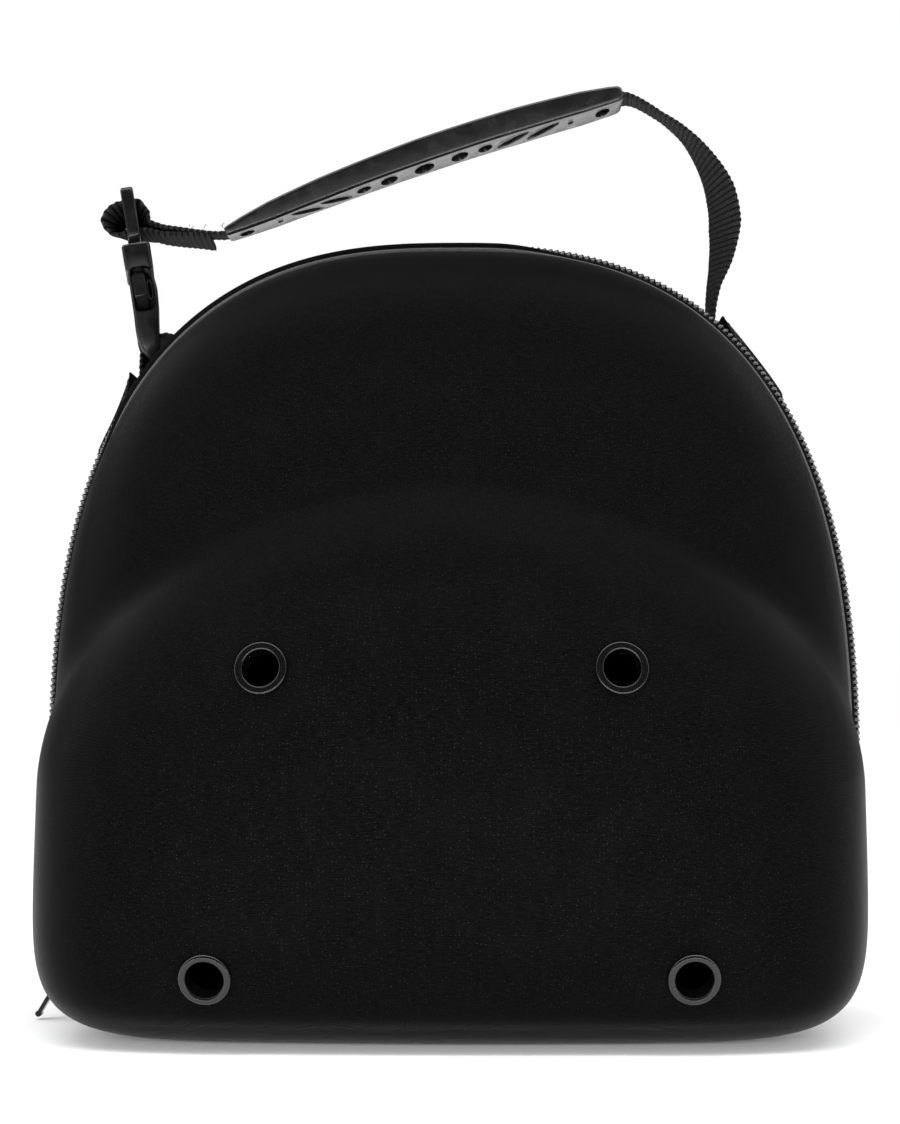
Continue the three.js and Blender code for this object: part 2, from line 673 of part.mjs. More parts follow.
// Grip's centre line: t runs from its left end to its right end
const gripChord = new THREE.Vector3(GRIP_RIGHT.x - GRIP_LEFT.x, 0, GRIP_RIGHT.z - GRIP_LEFT.z);
const gripUp = new THREE.Vector3(-gripChord.z, 0, gripChord.x).normalize();

function gripPoint(t) {
  return new THREE.Vector3(GRIP_LEFT.x, STRAP_Y, GRIP_LEFT.z)
    .addScaledVector(gripChord, t)
    .addScaledVector(gripUp, 4 * GRIP_ARCH * t * (1 - t));
}

function gripFrame(t) {
  const along = gripPoint(t + STEP).sub(gripPoint(t - STEP)).normalize();
  return { origin: gripPoint(t), u: ACROSS, v: new THREE.Vector3(-along.z, 0, along.x), along };
}

// Value of a named column in a table of sections, straight between its rows
function sectionValue(rows, key, at, column) {
  const next = Math.max(1, rows.findIndex((row) => row[key] >= at));
  const [a, b] = [rows[next - 1], rows[next]];
  return lerp(a[column], b[column], clamp((at - a[key]) / (b[key] - a[key]), 0, 1));
}

// Rectangle with cut corners, counted round from its lower right
function chamfered(width, thick, cut) {
  const [w, t] = [width / 2, thick / 2];
  const right = [[w - cut, -t], [w, -t + cut], [w, t - cut], [w - cut, t]];
  return [...right, ...mirrored(right)];
}

const gripRows = GRIP_SECTIONS.map(({ along }) => along);
const gripStations = Array.from({ length: GRIP_STEPS + 1 }, (_, i) => i / GRIP_STEPS);
const gripRings = [...new Set([...gripRows, ...gripStations])].sort((a, b) => a - b).map((t) => {
  const { origin, u, v } = gripFrame(t);
  const width = sectionValue(GRIP_SECTIONS, 'along', t, 'width');
  const thick = sectionValue(GRIP_SECTIONS, 'along', t, 'thick');
  const section = chamfered(width, thick, GRIP_CHAMFER);
  return section.map(([a, b]) => origin.clone().addScaledVector(u, a).addScaledVector(v, b));
});
const gripEnd = chamfered(GRIP_SECTIONS[0].width, GRIP_SECTIONS[0].thick, GRIP_CHAMFER);
const gripBody = loftGeometry(gripRings, gripEnd);
const slotEnds = Array.from({ length: GRIP_STEPS + 3 }, (_, i) => gripFrame((i - 1) / GRIP_STEPS));
const slotSection = chamfered(GRIP_SLOT.width, GRIP_SLOT.height, GRIP_SLOT.chamfer);
const gripCutters = [{ shape: sweepGeometry(slotSection, slotEnds) }];
for (const { along, length, width, turn } of GRIP_CUTS) {
  const { origin, v, along: forward } = gripFrame(along);
  const depth = sectionValue(GRIP_SECTIONS, 'along', along, 'thick');
  const down = new THREE.Vector3().crossVectors(forward, ACROSS);
  const place = origin.clone().addScaledVector(v, -depth / 2);
  const matrix = new THREE.Matrix4()
    .makeBasis(forward, ACROSS, down)
    .setPosition(place)
    .multiply(new THREE.Matrix4().makeRotationZ(turn));
  const tool = new THREE.CylinderGeometry(1, 1, depth, GRIP_CUT_SIDES);
  gripCutters.push({ shape: tool.rotateX(Math.PI / 2).scale(length / 2, width / 2, 1), matrix });
}
addPiece('grip', cutGeometry(gripBody, gripCutters), gripPlastic);

// Webbing ribbons: a flat section carried along a smooth line in the strap's plane
function ribbonGeometry(rows, steps) {
  const points = rows.map(({ x, z }) => new THREE.Vector3(x, STRAP_Y, z));
  const curve = new THREE.CatmullRomCurve3(points, false, 'centripetal');
  const frames = Array.from({ length: steps + 1 }, (_, i) => {
    const t = i / steps;
    const along = curve.getTangent(t);
    const row = Math.min(rows.length - 2, Math.floor(t * (rows.length - 1)));
    const part = t * (rows.length - 1) - row;
    const turn = lerp(rows[row].turn ?? 0, rows[row + 1].turn ?? 0, part);
    const u = ACROSS.clone().applyAxisAngle(along, degToRad(turn));
    return { origin: curve.getPoint(t), u, v: new THREE.Vector3().crossVectors(along, u) };
  });
  const [w, h] = [WEB_WIDTH / 2, WEB_THICK / 2];
  return sweepGeometry([[w, -h], [w, h], [-w, h], [-w, -h]], frames);
}

function tuckRows(rows) {
  return rows.map(({ phi, height }) => {
    const { x, z } = backPlace(phi, STRAP_Y - HALF_GAP, height);
    return { x, z };
  });
}

const gripRun = Array.from({ length: GRIP_RUN_STEPS + 1 }, (_, i) => {
  const place = gripPoint(1 - i / GRIP_RUN_STEPS);
  return { x: place.x, z: place.z };
});
const rightRows = [...tuckRows(RIGHT_TUCK), ...RIGHT_RUN.slice().reverse()];
const strapRows = [...rightRows, ...gripRun, ...LEFT_RUN];
addPiece('strap_webbing', ribbonGeometry(strapRows, STRAP_STEPS), webbing);
const anchorRows = [...tuckRows(ANCHOR_TUCK), ...ANCHOR_RUN, ...tuckRows(ANCHOR_LAP)];
addPiece('strap_anchor', ribbonGeometry(anchorRows, ANCHOR_STEPS), webbing);

// Buckle: the body is a hollow loft, and the tongue one flat plate with prongs and two slots
const buckleMatrix = new THREE.Matrix4()
  .makeRotationY(BUCKLE_LEAN)
  .setPosition(BUCKLE_FOOT.x, STRAP_Y, BUCKLE_FOOT.z);
const femaleSection = ({ width, thick }) => chamfered(width, thick, BUCKLE_CHAMFER);
const femaleRings = FEMALE_SECTIONS.map((row) =>
  femaleSection(row).map(([a, b]) => new THREE.Vector3(b, a, row.z)));
const femaleBody = loftGeometry(femaleRings, femaleSection(FEMALE_SECTIONS[0]));
const pocket = { foot: POCKET.foot, head: FEMALE.length + POCKET.over };
const femaleCuts = [
  boxBetween(POCKET.thick, POCKET.width, pocket),
  boxBetween(POCKET.thick, 2 * FEMALE.width, FEMALE_WINDOW),
  boxBetween(FEMALE_SLOT.through, FEMALE_SLOT.width, FEMALE_SLOT),
];
addPiece('buckle_female', cutGeometry(femaleBody, femaleCuts), bucklePlastic, buckleMatrix);

const barbHead = FEMALE_WINDOW.head - BARB.clearance;
const rightHalf = [
  [GUIDE.half, GUIDE.foot],
  [GUIDE.half, MALE.foot],
  [PRONG.inner, MALE.foot],
  [PRONG.inner, PRONG.foot + PRONG.bevel],
  [PRONG.outer - PRONG.nose, PRONG.foot],
  [BARB.reach, barbHead - BARB.length],
  [BARB.reach, barbHead],
  [PRONG.outer, barbHead],
  [PRONG.outer, MALE.foot],
  [MALE.halfWidth, MALE.foot + MALE.corner],
  [MALE.halfWidth, MALE.head - MALE.corner],
  [MALE.halfWidth - MALE.corner, MALE.head],
];
const tongue = shapeOf([...rightHalf, ...mirrored(rightHalf)]);
for (const { foot, head } of MALE_SLOTS) {
  tongue.holes.push(new THREE.Path([
    new THREE.Vector2(-SLOT_HALF, foot),
    new THREE.Vector2(SLOT_HALF, foot),
    new THREE.Vector2(SLOT_HALF, head),
    new THREE.Vector2(-SLOT_HALF, head),
  ]));
}
const tonguePlate = extruded(tongue, MALE.thick);
tonguePlate.applyMatrix4(new THREE.Matrix4().makeBasis(ACROSS, upAxis, alongAxis));
addPiece('buckle_male', tonguePlate, bucklePlastic, buckleMatrix);

// Origin at the middle of the base
const bounds = new THREE.Box3().setFromObject(group, true);
const centre = bounds.getCenter(new THREE.Vector3());
group.position.set(-centre.x, -centre.y, -bounds.min.z);

export default group;
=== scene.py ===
# Looks of a cap carrier: a moulded zip-up case with vent eyelets, a webbing strap, a grip and a buckle.
# Lengths are millimetres in the case's own frame: the zipper lies in the plane y = 0, the front faces -y
# and z is the height above the floor. The last step of each mesh turns them into metres in the row's frame.
import math

import bmesh
import bpy
import numpy as np
from mathutils import Matrix, Vector


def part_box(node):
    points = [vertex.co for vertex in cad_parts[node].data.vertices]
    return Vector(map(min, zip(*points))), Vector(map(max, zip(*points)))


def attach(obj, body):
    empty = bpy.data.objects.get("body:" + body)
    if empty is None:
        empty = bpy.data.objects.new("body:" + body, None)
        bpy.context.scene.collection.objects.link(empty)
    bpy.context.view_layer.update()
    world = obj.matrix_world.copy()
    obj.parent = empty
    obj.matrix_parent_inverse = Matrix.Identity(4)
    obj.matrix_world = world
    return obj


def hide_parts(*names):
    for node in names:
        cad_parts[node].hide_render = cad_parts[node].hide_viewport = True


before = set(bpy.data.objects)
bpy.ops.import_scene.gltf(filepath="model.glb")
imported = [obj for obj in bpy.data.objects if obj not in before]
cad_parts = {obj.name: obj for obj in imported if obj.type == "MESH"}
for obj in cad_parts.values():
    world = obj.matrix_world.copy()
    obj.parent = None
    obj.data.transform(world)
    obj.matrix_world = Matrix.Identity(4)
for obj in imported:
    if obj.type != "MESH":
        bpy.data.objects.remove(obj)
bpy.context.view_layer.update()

MM = 0.001
TINY = 1e-6
STEP = 1e-3
TRACK_STEP = 0.1
SEED = 11
WEAVE = "weave"
X_AXIS, Y_AXIS, Z_AXIS = np.eye(3)
# Direction that no tube follows
ASKEW = np.array([0.31, 0.87, 0.38])
# Rounded corners: points on each, and the most of an edge that one may take
CORNER_STEPS = 6
CORNER_SHARE = 0.45
PLATE_EDGE_STEPS = 2

# Case: outlines are superellipses about a centre line, with a wider power below it
CENTRE_Z = 75
HALF_WIDTH = 127.6
DROP = 75.6
RIM_RISE = 172
RIM_POWER = 2.62
RIM_CORNER = 4.9
BULGE_RISE = 104
BULGE_ARCH_POWER = 1.89
BULGE_CORNER = 7.6
CORNER_BLEND = 0.6
WALL = 4
HALF_GAP = 6
DOME_DEPTH = 71
DOME_POWER = 3.2
DOME_STEP_IN = 2.4
DOME_STEP_ANGLE = 0.1
RIM_INSET = 1.5
BULGE_DEPTH = 99
BULGE_POWER = 3.8
BULGE_ARCH_SWING = 0.86
BULGE_FOOT_SWING = 1.8
CREASE_WIDTH = 15
BACK_DEPTH = 66
BACK_POWER = 5
SHELL_COLUMNS = 336
CORNER_BUNCH = 0.07
BUNCHES = 6
FRONT_RINGS = 140
BACK_RINGS = 72
INNER_RINGS = 18
RIM_ROUND = 1.3
RIM_STEPS = 5

# Eyelets: places on the front, and the rolled crown of each
EYELET_PLACES = {
    "eyelet_upper_left": (-53, 111),
    "eyelet_upper_right": (50.5, 111),
    "eyelet_lower_left": (-68.8, 22.4),
    "eyelet_lower_right": (70.8, 22.7),
}
EYELET_HOLE = 5.4
EYELET_RADIUS = 7.75
EYELET_BARREL = 5.95
EYELET_SEAT = 0.1
EYELET_CROWN = 1.2
CROWN_POWERS = {"upper": 4, "lower": 2.3}
EYELET_WASHER = 7.3
WASHER_TOP = -4.9
WASHER_FOOT = -5.6
EYELET_BORE = 6.25
EYELET_SIDES = 96
CROWN_STEPS = 29
BORE_REACH = 14
DIMPLE_DEPTH = 0.35
DIMPLE_FLAT = 7
DIMPLE_FADE = 3.5

# Zipper, in offsets across the rim and out of it
TAPE_SECTION = [(11, -6.5), (11, -5.5), (5.6, -5.5), (4.75, -0.3), (4.2, 0), (4.45, 0.5), (4.25, 1),
                (3.6, 1.2), (1.6, 1.9), (0.05, 1.9), (0.05, -1.2), (3.6, -1.2), (4.6, -6.5)]
TAPE_LIP = [0, 0, 0, 0, 0, 0.6, 1, 1, 0, 0, 0, 0, 0]
LIP_RISE = 1.9
LIP_LEFT = (-116, -101)
LIP_RIGHT = (14, 42)
# Rolled fabric edges: half sizes, and by side, -1 at the front, their place and share of the lip's rise
EDGE_HALF = np.array([0.4, 0.85])
EDGE_PLACE = {-1: (7, 0.6 - RIM_INSET), 1: (7, -0.4)}
EDGE_LIFT = {-1: 0.5, 1: 0.0}
EDGE_SIDES = 8
HINGE_HALF = [(11, -5.5), (5.6, -5.5), (4.6, -0.5)]
HINGE_UNDER = [(3.6, -1.5), (4.6, -6.5), (11, -6.5)]
ZIP_END = math.radians(-28)
HINGE_END = math.radians(-28.6)
RIM_SAMPLES = 4000
TAPE_STEP = 2
TAPE_END = 0.2
TOOTH_PITCH = 2
TOOTH_RADIUS = 0.48
TOOTH_SIDES = 8
TOOTH_MARGIN = 1.2
# Middle of a tooth as (across, out, along)
TOOTH_PATH = [(3.25, 0.35, 0.35), (3.3, 1.35, 0.3), (2.75, 2.2, 0.2), (1.6, 2.52, 0), (0.4, 2.5, -0.2),
              (-0.45, 2.0, -0.3), (-0.55, 1.1, -0.3)]

# Slider and pull
SLIDER_ANGLE = math.radians(205.3)
SLIDER_LENGTH = 9
SLIDER_HALF = 5.2
SLIDER_TOP = 4.7
SLIDER_FOOT = 0.2
SLIDER_WALL = 1.3
SLIDER_ROOF = 3.4
SLIDER_EDGE = 0.35
SLIDER_CORNER = 0.5
BAIL_HALF = 3.2
BAIL_WIDTH = 2.4
BAIL_BAR = 6.05
BAIL_HOLE = 1.35
BAIL_SIDES = 24
BAIL_ROOF = 1.2
BAIL_CUT = 1.6
BAIL_CORNER = 0.8
BAIL_SINK = 0.3
PULL_LENGTH = 16
PULL_HALF = 3.4
PULL_TIP_HALF = 2.4
PULL_THICK = 1.3
PULL_CORNER = 1
PULL_BULB = 1
BULB_SIDES = 32
# Window as (start, end, half width, corner)
PULL_WINDOW = (0.7, 5.2, 1.9, 0.6)
PULL_MARGIN = 1
PULL_LEAN = math.radians(31)
PULL_EDGE = 0.35

# Carry strap: centre lines of its free stretches as (x, z, turn in degrees about its own length)
STRAP_Y = 25
WEB_WIDTH = 25
WEB_THICK = 1.7
RIGHT_RUN = [(59.5, 302.4, -5), (69, 296.8, -6), (77, 290.4, -1), (84, 281, 8), (88.5, 271, 17),
             (90, 260, 20.5), (88.6, 248, 14), (86.2, 239, 6), (85.2, 231, 2)]
LEFT_RUN = [(-80.5, 257.6, -5.5), (-85, 257.9, -4), (-90, 258.3, -2), (-96.4, 258.7, 1), (-102.2, 259.6, 10),
            (-104.2, 262.6, 16), (-105.6, 265.6, 11), (-108.4, 266.2, 4), (-112.6, 264.6, 6),
            (-114.2, 260.8, 11), (-111.8, 257.6, 8), (-106.6, 257.8, 0), (-101.4, 257.8, 0), (-97, 256.8, 0),
            (-92, 256.3, -1), (-86, 255.9, -2), (-80.8, 255.4, -3)]
ANCHOR_RUN = [(-91.4, 221.6, 0), (-95.4, 222.8, 0), (-99.4, 221.2, 0), (-102.6, 218, 0), (-103.2, 213.4, 0)]
# Webbing on the back shell as (direction in degrees, height above the skin)
RIGHT_TUCK = [(50.5, 1.35), (54.5, 1.35), (58, 1.5), (60.6, 3.4)]
ANCHOR_TUCK = [(136, 1.35), (132, 1.35), (128, 1.35), (124.6, 1.35), (122.6, 1.6), (121.5, 3.6)]
ANCHOR_LAP = [(127.7, 4.3), (129.6, 3.35)]
CURVE_SAMPLES = 60
RING_STEP = 0.42
HIDDEN_STEP = 6
HIDDEN_MARGIN = 0.6
WEB_ACROSS = 61
WEB_COLUMN = 2.1
WEB_PITCH = 1.9
WEB_RELIEF = 0.34
WEB_RIB_POWER = 0.7
WEB_RIB_SHARE = 0.7
WEB_COLUMN_POWER = 0.6
WEB_SCALLOP = 0.34
WEB_EDGE_POWER = 6
FIBRES = 7
FIBRE_RADIUS = 0.09
FIBRE_LENGTH = (0.6, 1.6)
FIBRE_ACROSS = (-1, -0.5)
FIBRE_BEND = 1
FIBRE_POINTS = 6
FIBRE_SIDES = 5
# Stretches of the fold with loose fibres, as distances from the strap's cut end, and their side
FIBRE_RUNS = [(87, 66, -1), (22, 2, 1)]

# Patches: cloth squares as (top, foot) directions in degrees, and how far the top edge stands open
PATCHES = {"strap_patch_left": (127.4, 138, 6.6), "strap_patch_right": (60.5, 48.5, 5)}
PATCH_THICK = 1.8
PATCH_SKIRT = 0.3
PATCH_MARGIN = 4
PATCH_CROWN = 3.4
PATCH_RAMP = 0.11
PATCH_FOOT_RAMP = 0.18
PATCH_FLARE_END = 0.6
PATCH_ACROSS = 56
PATCH_ALONG = 64
PATCH_EDGE = 0.6
STITCH_INSET = 0.055
STITCH_COUNT = 11
STITCH_SHARE = 0.72
STITCH_RADIUS = 0.28
STITCH_SINK = 1.4
STITCH_RISE = 1.8
STITCH_POINTS = 7
STITCH_SIDES = 8

# Grip: an arc from its left end to its right end, with sections as (along, width, thickness)
GRIP_LEFT = (-76, 257.8)
GRIP_RIGHT = (55.5, 303)
GRIP_ARCH = 3.6
GRIP_ROLL = [(0, 5.7), (0.5, 3.4), (1, 2.7)]
GRIP_SECTIONS = [(0, 26.2, 2.8), (0.008, 27.2, 3.4), (0.05, 28, 4.8), (0.12, 29, 6.4), (0.25, 29.6, 7.6),
                 (0.5, 30, 8.4), (0.75, 30, 8.2), (0.9, 29.4, 7.2), (0.97, 28.2, 5.8), (0.992, 27.6, 5),
                 (1, 26.4, 3.6)]
GRIP_STATIONS = 72
GRIP_ROUND = 1.5
GRIP_ROUND_SHARE = 0.4
# Slot for the webbing as (width, height, corner), and the share of the grip by which it runs past each end
GRIP_SLOT = (26, 2.4, 0.5)
GRIP_SLOT_REACH = 0.05
GRIP_RUN_STEPS = 8
# Pockets in the underside as (along, length, width, turn)
GRIP_CUTS = [(0.045, 5, 15, 0), (0.13, 2, 6, 0), (0.2, 6, 20, -0.5), (0.275, 6, 20, -0.5), (0.345, 5, 14, 0),
             (0.41, 6, 18, 0), (0.5, 7, 20, 0), (0.59, 6, 18, 0), (0.655, 5, 14, 0), (0.725, 6, 20, 0.5),
             (0.8, 6, 20, 0.5), (0.87, 2, 6, 0), (0.95, 5, 15, 0)]
CUT_SIDES = 40
EDGE_ROUND = 0.3

# Buckle, in its own frame: its foot is at the origin, x is its thickness and z runs along it
BUCKLE_FOOT = (-100.3, STRAP_Y, 215.4)
BUCKLE_LEAN = math.radians(-9.6)
BUCKLE_YAW = math.radians(6.5)
BUCKLE_REACH = 40
# Body and collar as (z, left, right, width, corner)
FEMALE_SECTIONS = [(-1.6, -1, 1.8, 27.4, 1.3), (-0.4, -2, 2.3, 29, 1.6), (3, -3.7, 2.8, 31.6, 2),
                   (8, -4.5, 3.1, 32.6, 2.2), (14.4, -4.3, 3.9, 33, 2.2), (21, -4.2, 4.7, 33, 2.2),
                   (26, -4.1, 4.3, 33, 2.2), (28.4, -4.1, 4.1, 33, 2)]
COLLAR_SECTIONS = [(28.6, -4.2, 4.2, 33.1, 2), (29.1, -4.6, 4.6, 33.8, 2), (36.9, -4.7, 4.7, 33.8, 2),
                   (37.5, -4.3, 4.3, 33, 1.8)]
FEMALE_STATIONS = 60
# Pocket as (left, right, foot, head), in bays across the buckle
POCKET = (-2.5, 1.1, 11.5, 40)
POCKET_BAYS = [(-13.5, -7.5), (-2.6, 2.6), (7.5, 13.5)]
WINDOW_CORE = 10.5
WINDOW = [(-3.5, 14.8), (2.9, 14.8), (3.8, 21), (3.2, 29.7), (-3.5, 29.7)]
WINDOW_CORNER = 2.2
# Slot for the anchor loop as (foot, head, width)
FEMALE_SLOT = (3.4, 8.6, 26.5)
# Tongue's frame as (foot, head, half width)
MALE_FRAME = (38.8, 56.6, 16)
MALE_CORNER = 2.6
MALE_THICK = 4.2
MALE_EDGE = 0.8
MALE_SLOTS = [(41.4, 45.6), (48.8, 53.4)]
SLOT_HALF = 13
SLOT_CORNER = 1.2
PRONG_SHIFT = -0.7
PRONG_THICK = 3.2
PRONG_EDGE = 0.5
# Guide between the prongs as (half width, foot, head)
GUIDE = (2.2, 17.5, 39.6)
GUIDE_CORNER = 1
PRONG_HALF = [(8.6, 39.6), (8.6, 18.6), (11.1, 15.8), (15.9, 23.2), (15.9, 27.6), (12.6, 28.2), (12.6, 39.6)]
PRONG_CORNER = 0.9
HEAD_HALF = [(10.9, 17), (11.6, 15.6), (16.1, 20), (16.1, 26.4), (14.6, 28), (10.9, 28)]
HEAD_CORNER = 1.2
HEAD_SHIFT = -0.95
HEAD_THICK = 4.6
HEAD_EDGE = 0.8
# Raised ring on each prong as (x, z, half width, half height), and its distance from the middle
PRESS_RING = (2.3, 21.6, 0.9, 3.2)
PRESS_RING_SIDE = 15.2
PRESS_RING_RADIUS = 0.38
PRESS_RING_POINTS = 33
PRESS_RING_SIDES = 8

# Finishes: a colour is a pair, of which the first is its red and green and the second its blue
# Knit's stitches as (width, height, gap), and the stretch of its streaks
KNIT_STITCH = (0.95, 0.5, 0.13)
KNIT_STREAK = (0.35, 2.4, 1)
STREAK_SHARE = 0.55
GRAIN_SHARE = 0.45
KNIT_RELIEF = 1.2
LINT_STRENGTH = 0.07
# Woven bricks as (width, height, gap) in threads, and how much darker the gaps are
THREAD_SHAPE = (1.6, 1, 0.2)
THREAD_SHADE = 0.3
WOVEN_SHEEN_ROUGHNESS = 0.4
WEAR_STRENGTH = 0.5
# Ranges of a pattern over which a finish changes; the last two of four are what it changes to
KNIT_TONE = (0.36, 0.64)
KNIT_WEAR = (0.35, 0.75, 0.0, 0.35)
WOVEN_TONE = (0.2, 0.7)
# Painted shade: how much darker the grooves between the webbing's ribs are coloured
RIB_PAINTED_SHADE = (0.15, 0.8)
PLASTIC_TONE = (0.35, 0.7)
GLOSS_RANGE = (0.3, 0.7)
ENAMEL_GLOSS = (0.3, 0.7, 0.12, 0.2)
KNIT_DARK = (0.0005, 0.0005)
KNIT_LIGHT = (0.0017, 0.0018)
KNIT_WORN = (0.0018, 0.0019)
KNIT_LINT = (0.1, 0.105)
KNIT_SHINE = {"Roughness": 0.3, "Specular IOR Level": 0.015, "Sheen Weight": 0.018, "Sheen Roughness": 0.2}
# Woven finishes as (light, dark, thread, roughness, specular, sheen, pitch of the ribs whose grooves get
# painted shade)
WOVEN = {
    "black_webbing": ((0.03, 0.031), (0.002, 0.0022), 0.5, 0.7, 0.05, 0.0, WEB_PITCH),
    "black_tape": ((0.005, 0.0053), (0.001, 0.0011), 0.6, 0.8, 0.05, 0.0, None),
    # The rolled edge's pale colour is a painted highlight: the light line along the rim of the black fabric
    "edge_painted_highlight": ((0.055, 0.056), (0.025, 0.026), 0.4, 0.4, 0.4, 0.05, None),
    "black_thread": ((0.02, 0.021), (0.008, 0.009), 0.3, 0.6, 0.3, 0.04, None),
}
# Plastic finishes as (colour, pale colour, roughness, its swing, scale of the grain, its depth, gloss)
PLASTIC = {
    "black_coil": ((0.003, 0.0033), (0.006, 0.0065), 0.2, 0.05, 2.5, 0.03, 1.0),
    "black_acetal": ((0.003, 0.0033), (0.0055, 0.0058), 0.2, 0.04, 3.5, 0.02, 0.27),
    "black_grip": ((0.0035, 0.0038), (0.006, 0.0064), 0.24, 0.04, 4.0, 0.03, 0.5),
}
ENAMEL_BLACK = (0.0016, 0.0018)
ENAMEL_WORN = (0.03, 0.03)
FLOOR_TONES = [(0.93, 0.93), (0.96, 0.96)]
WHITE = (1, 1, 1, 1)
# Sockets of a colour mix: its share, its two colours and its result
MIX_SHARE, MIX_FIRST, MIX_SECOND, MIX_RESULT = 0, 6, 7, 2

# Photograph's frame and the camera
IMAGE_HEIGHT = 1124
FOCAL_PIXELS = 2805
SENSOR = 36
CAMERA_YAW = math.radians(1.3)
CAMERA_PITCH = math.radians(2.96)
CAMERA_DISTANCE = 905
CAMERA_OFFSET = -1
CAMERA_HEIGHT = 100

# Stage, in metres: lights as (name, place, target, size, watts)
FLOOR_RADIUS = 14
FLOOR_SIDES = 96
FLOOR_DROP = 0.0002
LIGHTS = [
    ("front_low", (0.1, -1.3, 0.3), (0, 0, 0.02), (1.2, 0.4), 3),
    ("floor_fill", (0, -0.6, 0.95), (0, -0.25, 0), (1.4, 0.3), 8),
    ("floor_card", (0, -0.42, 0.004), (0, -0.41, 1), (0.9, 0.34), 0.6),
    ("front_foot", (0, -0.5, 0.05), (0, -0.1, 0.02), (0.9, 0.08), 8),
]
# Surround's brightness by direction, as ramps of (low, high, brightness at low, brightness at high)
SPREAD = (-0.97, -0.65, 0.12, 1.15)
MIRRORED_FRONT = (-0.6, -0.05, 0.03, 2.0)
MIRRORED_BACK = (-0.05, 0.45, 1.0, 0.06)
OVERHEAD = (0.55, 0.95, 1.0, 2.6)
SIDEWAYS = (0.4, 0.65, 0.0, 1.0)
ALOFT = (0.25, 0.5, 0.0, 1.3)

# Frame of the case within the row's frame
front_low, front_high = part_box("front_shell")
SHIFT = np.array([(front_low.x + front_high.x) / 2, front_high.y + HALF_GAP * MM, 0.0])


def lerp(a, b, t):
    return a + (b - a) * t


def smoothstep(value, low, high):
    t = np.clip((value - low) / (high - low), 0, 1)
    return t * t * (3 - 2 * t)


def unit(vectors):
    return vectors / np.maximum(np.linalg.norm(vectors, axis=-1, keepdims=True), TINY)


def turns(count):
    """Angles spread evenly round a circle."""
    return np.linspace(0, 2 * math.pi, count, endpoint=False)


def lengths_along(points):
    """Distance from the first point to each, along the points."""
    steps = np.linalg.norm(np.diff(points, axis=0), axis=1)
    return np.concatenate([[0], np.cumsum(steps)])


def smooth_rows(rows, at):
    """Centripetal Catmull-Rom curve through rows of numbers, with at from 0 to 1 over the rows."""
    rows = np.asarray(rows, float)
    padded = np.vstack([2 * rows[0] - rows[1], rows, 2 * rows[-1] - rows[-2]])
    place = np.clip(at, 0, 1) * (len(rows) - 1)
    row = np.minimum(place.astype(int), len(rows) - 2)
    t = (place - row)[:, None]
    p0, p1, p2, p3 = (padded[row + k] for k in range(4))
    d0, d1, d2 = (np.maximum(np.linalg.norm(b - a, axis=1, keepdims=True), TINY) ** 0.5
                  for a, b in ((p0, p1), (p1, p2), (p2, p3)))
    start = ((p1 - p0) / d0 - (p2 - p0) / (d0 + d1) + (p2 - p1) / d1) * d1
    end = ((p2 - p1) / d1 - (p3 - p1) / (d1 + d2) + (p3 - p2) / d2) * d1
    square = 3 * (p2 - p1) - 2 * start - end
    cube = 2 * (p1 - p2) + start + end
    return p1 + start * t + square * t ** 2 + cube * t ** 3


# Forms of the case
def outline_radius(phi, rise, arch_power, corner):
    """Distance from the centre line to an outline in the direction phi."""
    above = np.sin(phi) >= 0
    power = np.where(above, arch_power, corner)
    side = np.abs(np.cos(phi)) / HALF_WIDTH
    up = np.abs(np.sin(phi)) / np.where(above, rise, DROP)
    return (side ** power + up ** power) ** (-1 / power)


def rim_radius(phi):
    return outline_radius(phi, RIM_RISE, RIM_POWER, RIM_CORNER)


def profile_radius(theta, radius, depth, power):
    """Distance to a superellipse profile at the angle theta out of the rim's plane."""
    across = np.maximum(np.cos(theta), 0) / radius
    deep = np.sin(theta) / depth
    return (across ** power + deep ** power) ** (-1 / power)


def smooth_max(a, b, width):
    near = np.maximum(0, 1 - np.abs(a - b) / np.maximum(width, TINY))
    return np.maximum(a, b) + width * near * near / 4


def front_reach(phi, theta, inset):
    corner = lerp(RIM_CORNER, BULGE_CORNER, smoothstep(theta, 0, CORNER_BLEND))
    rim = outline_radius(phi, RIM_RISE, RIM_POWER, corner) - inset
    arch = outline_radius(phi, BULGE_RISE, BULGE_ARCH_POWER, corner) - inset
    step_in = lerp(RIM_INSET, DOME_STEP_IN, smoothstep(theta, 0, DOME_STEP_ANGLE))
    dome = profile_radius(theta, rim - step_in, DOME_DEPTH - inset, DOME_POWER)
    swing = np.where(np.sin(phi) > 0, BULGE_ARCH_SWING, BULGE_FOOT_SWING)
    squareness = BULGE_POWER - swing * np.sin(phi)
    bulge = profile_radius(theta, arch, BULGE_DEPTH - inset, squareness)
    return smooth_max(dome, bulge, CREASE_WIDTH * np.sin(theta))


def back_reach(phi, theta, inset):
    return profile_radius(theta, rim_radius(phi) - inset, BACK_DEPTH - inset, BACK_POWER)


def shell_points(reach_at, side, phi, theta, inset):
    """Points of a shell's skin; side is -1 for the front and +1 for the back."""
    reach = reach_at(phi, theta, inset)
    out = reach * np.cos(theta)
    z = np.maximum(inset, CENTRE_Z + out * np.sin(phi))
    return np.stack([out * np.cos(phi), side * (HALF_GAP + reach * np.sin(theta)), z], -1)


def front_place(x, z):
    """Point of the front skin with that x and z, and the outward direction there."""
    phi = np.array(math.atan2(z - CENTRE_Z, x))
    wanted = math.hypot(x, z - CENTRE_Z)
    angles = np.linspace(0, math.pi / 2, RIM_SAMPLES)
    reach = front_reach(phi, angles, 0) * np.cos(angles)
    theta = np.interp(-wanted, -reach, angles)
    here = shell_points(front_reach, -1, phi, theta, 0)
    around = shell_points(front_reach, -1, phi + STEP, theta, 0) - here
    deeper = shell_points(front_reach, -1, phi, theta + STEP, 0) - here
    return here, unit(np.cross(around, deeper))


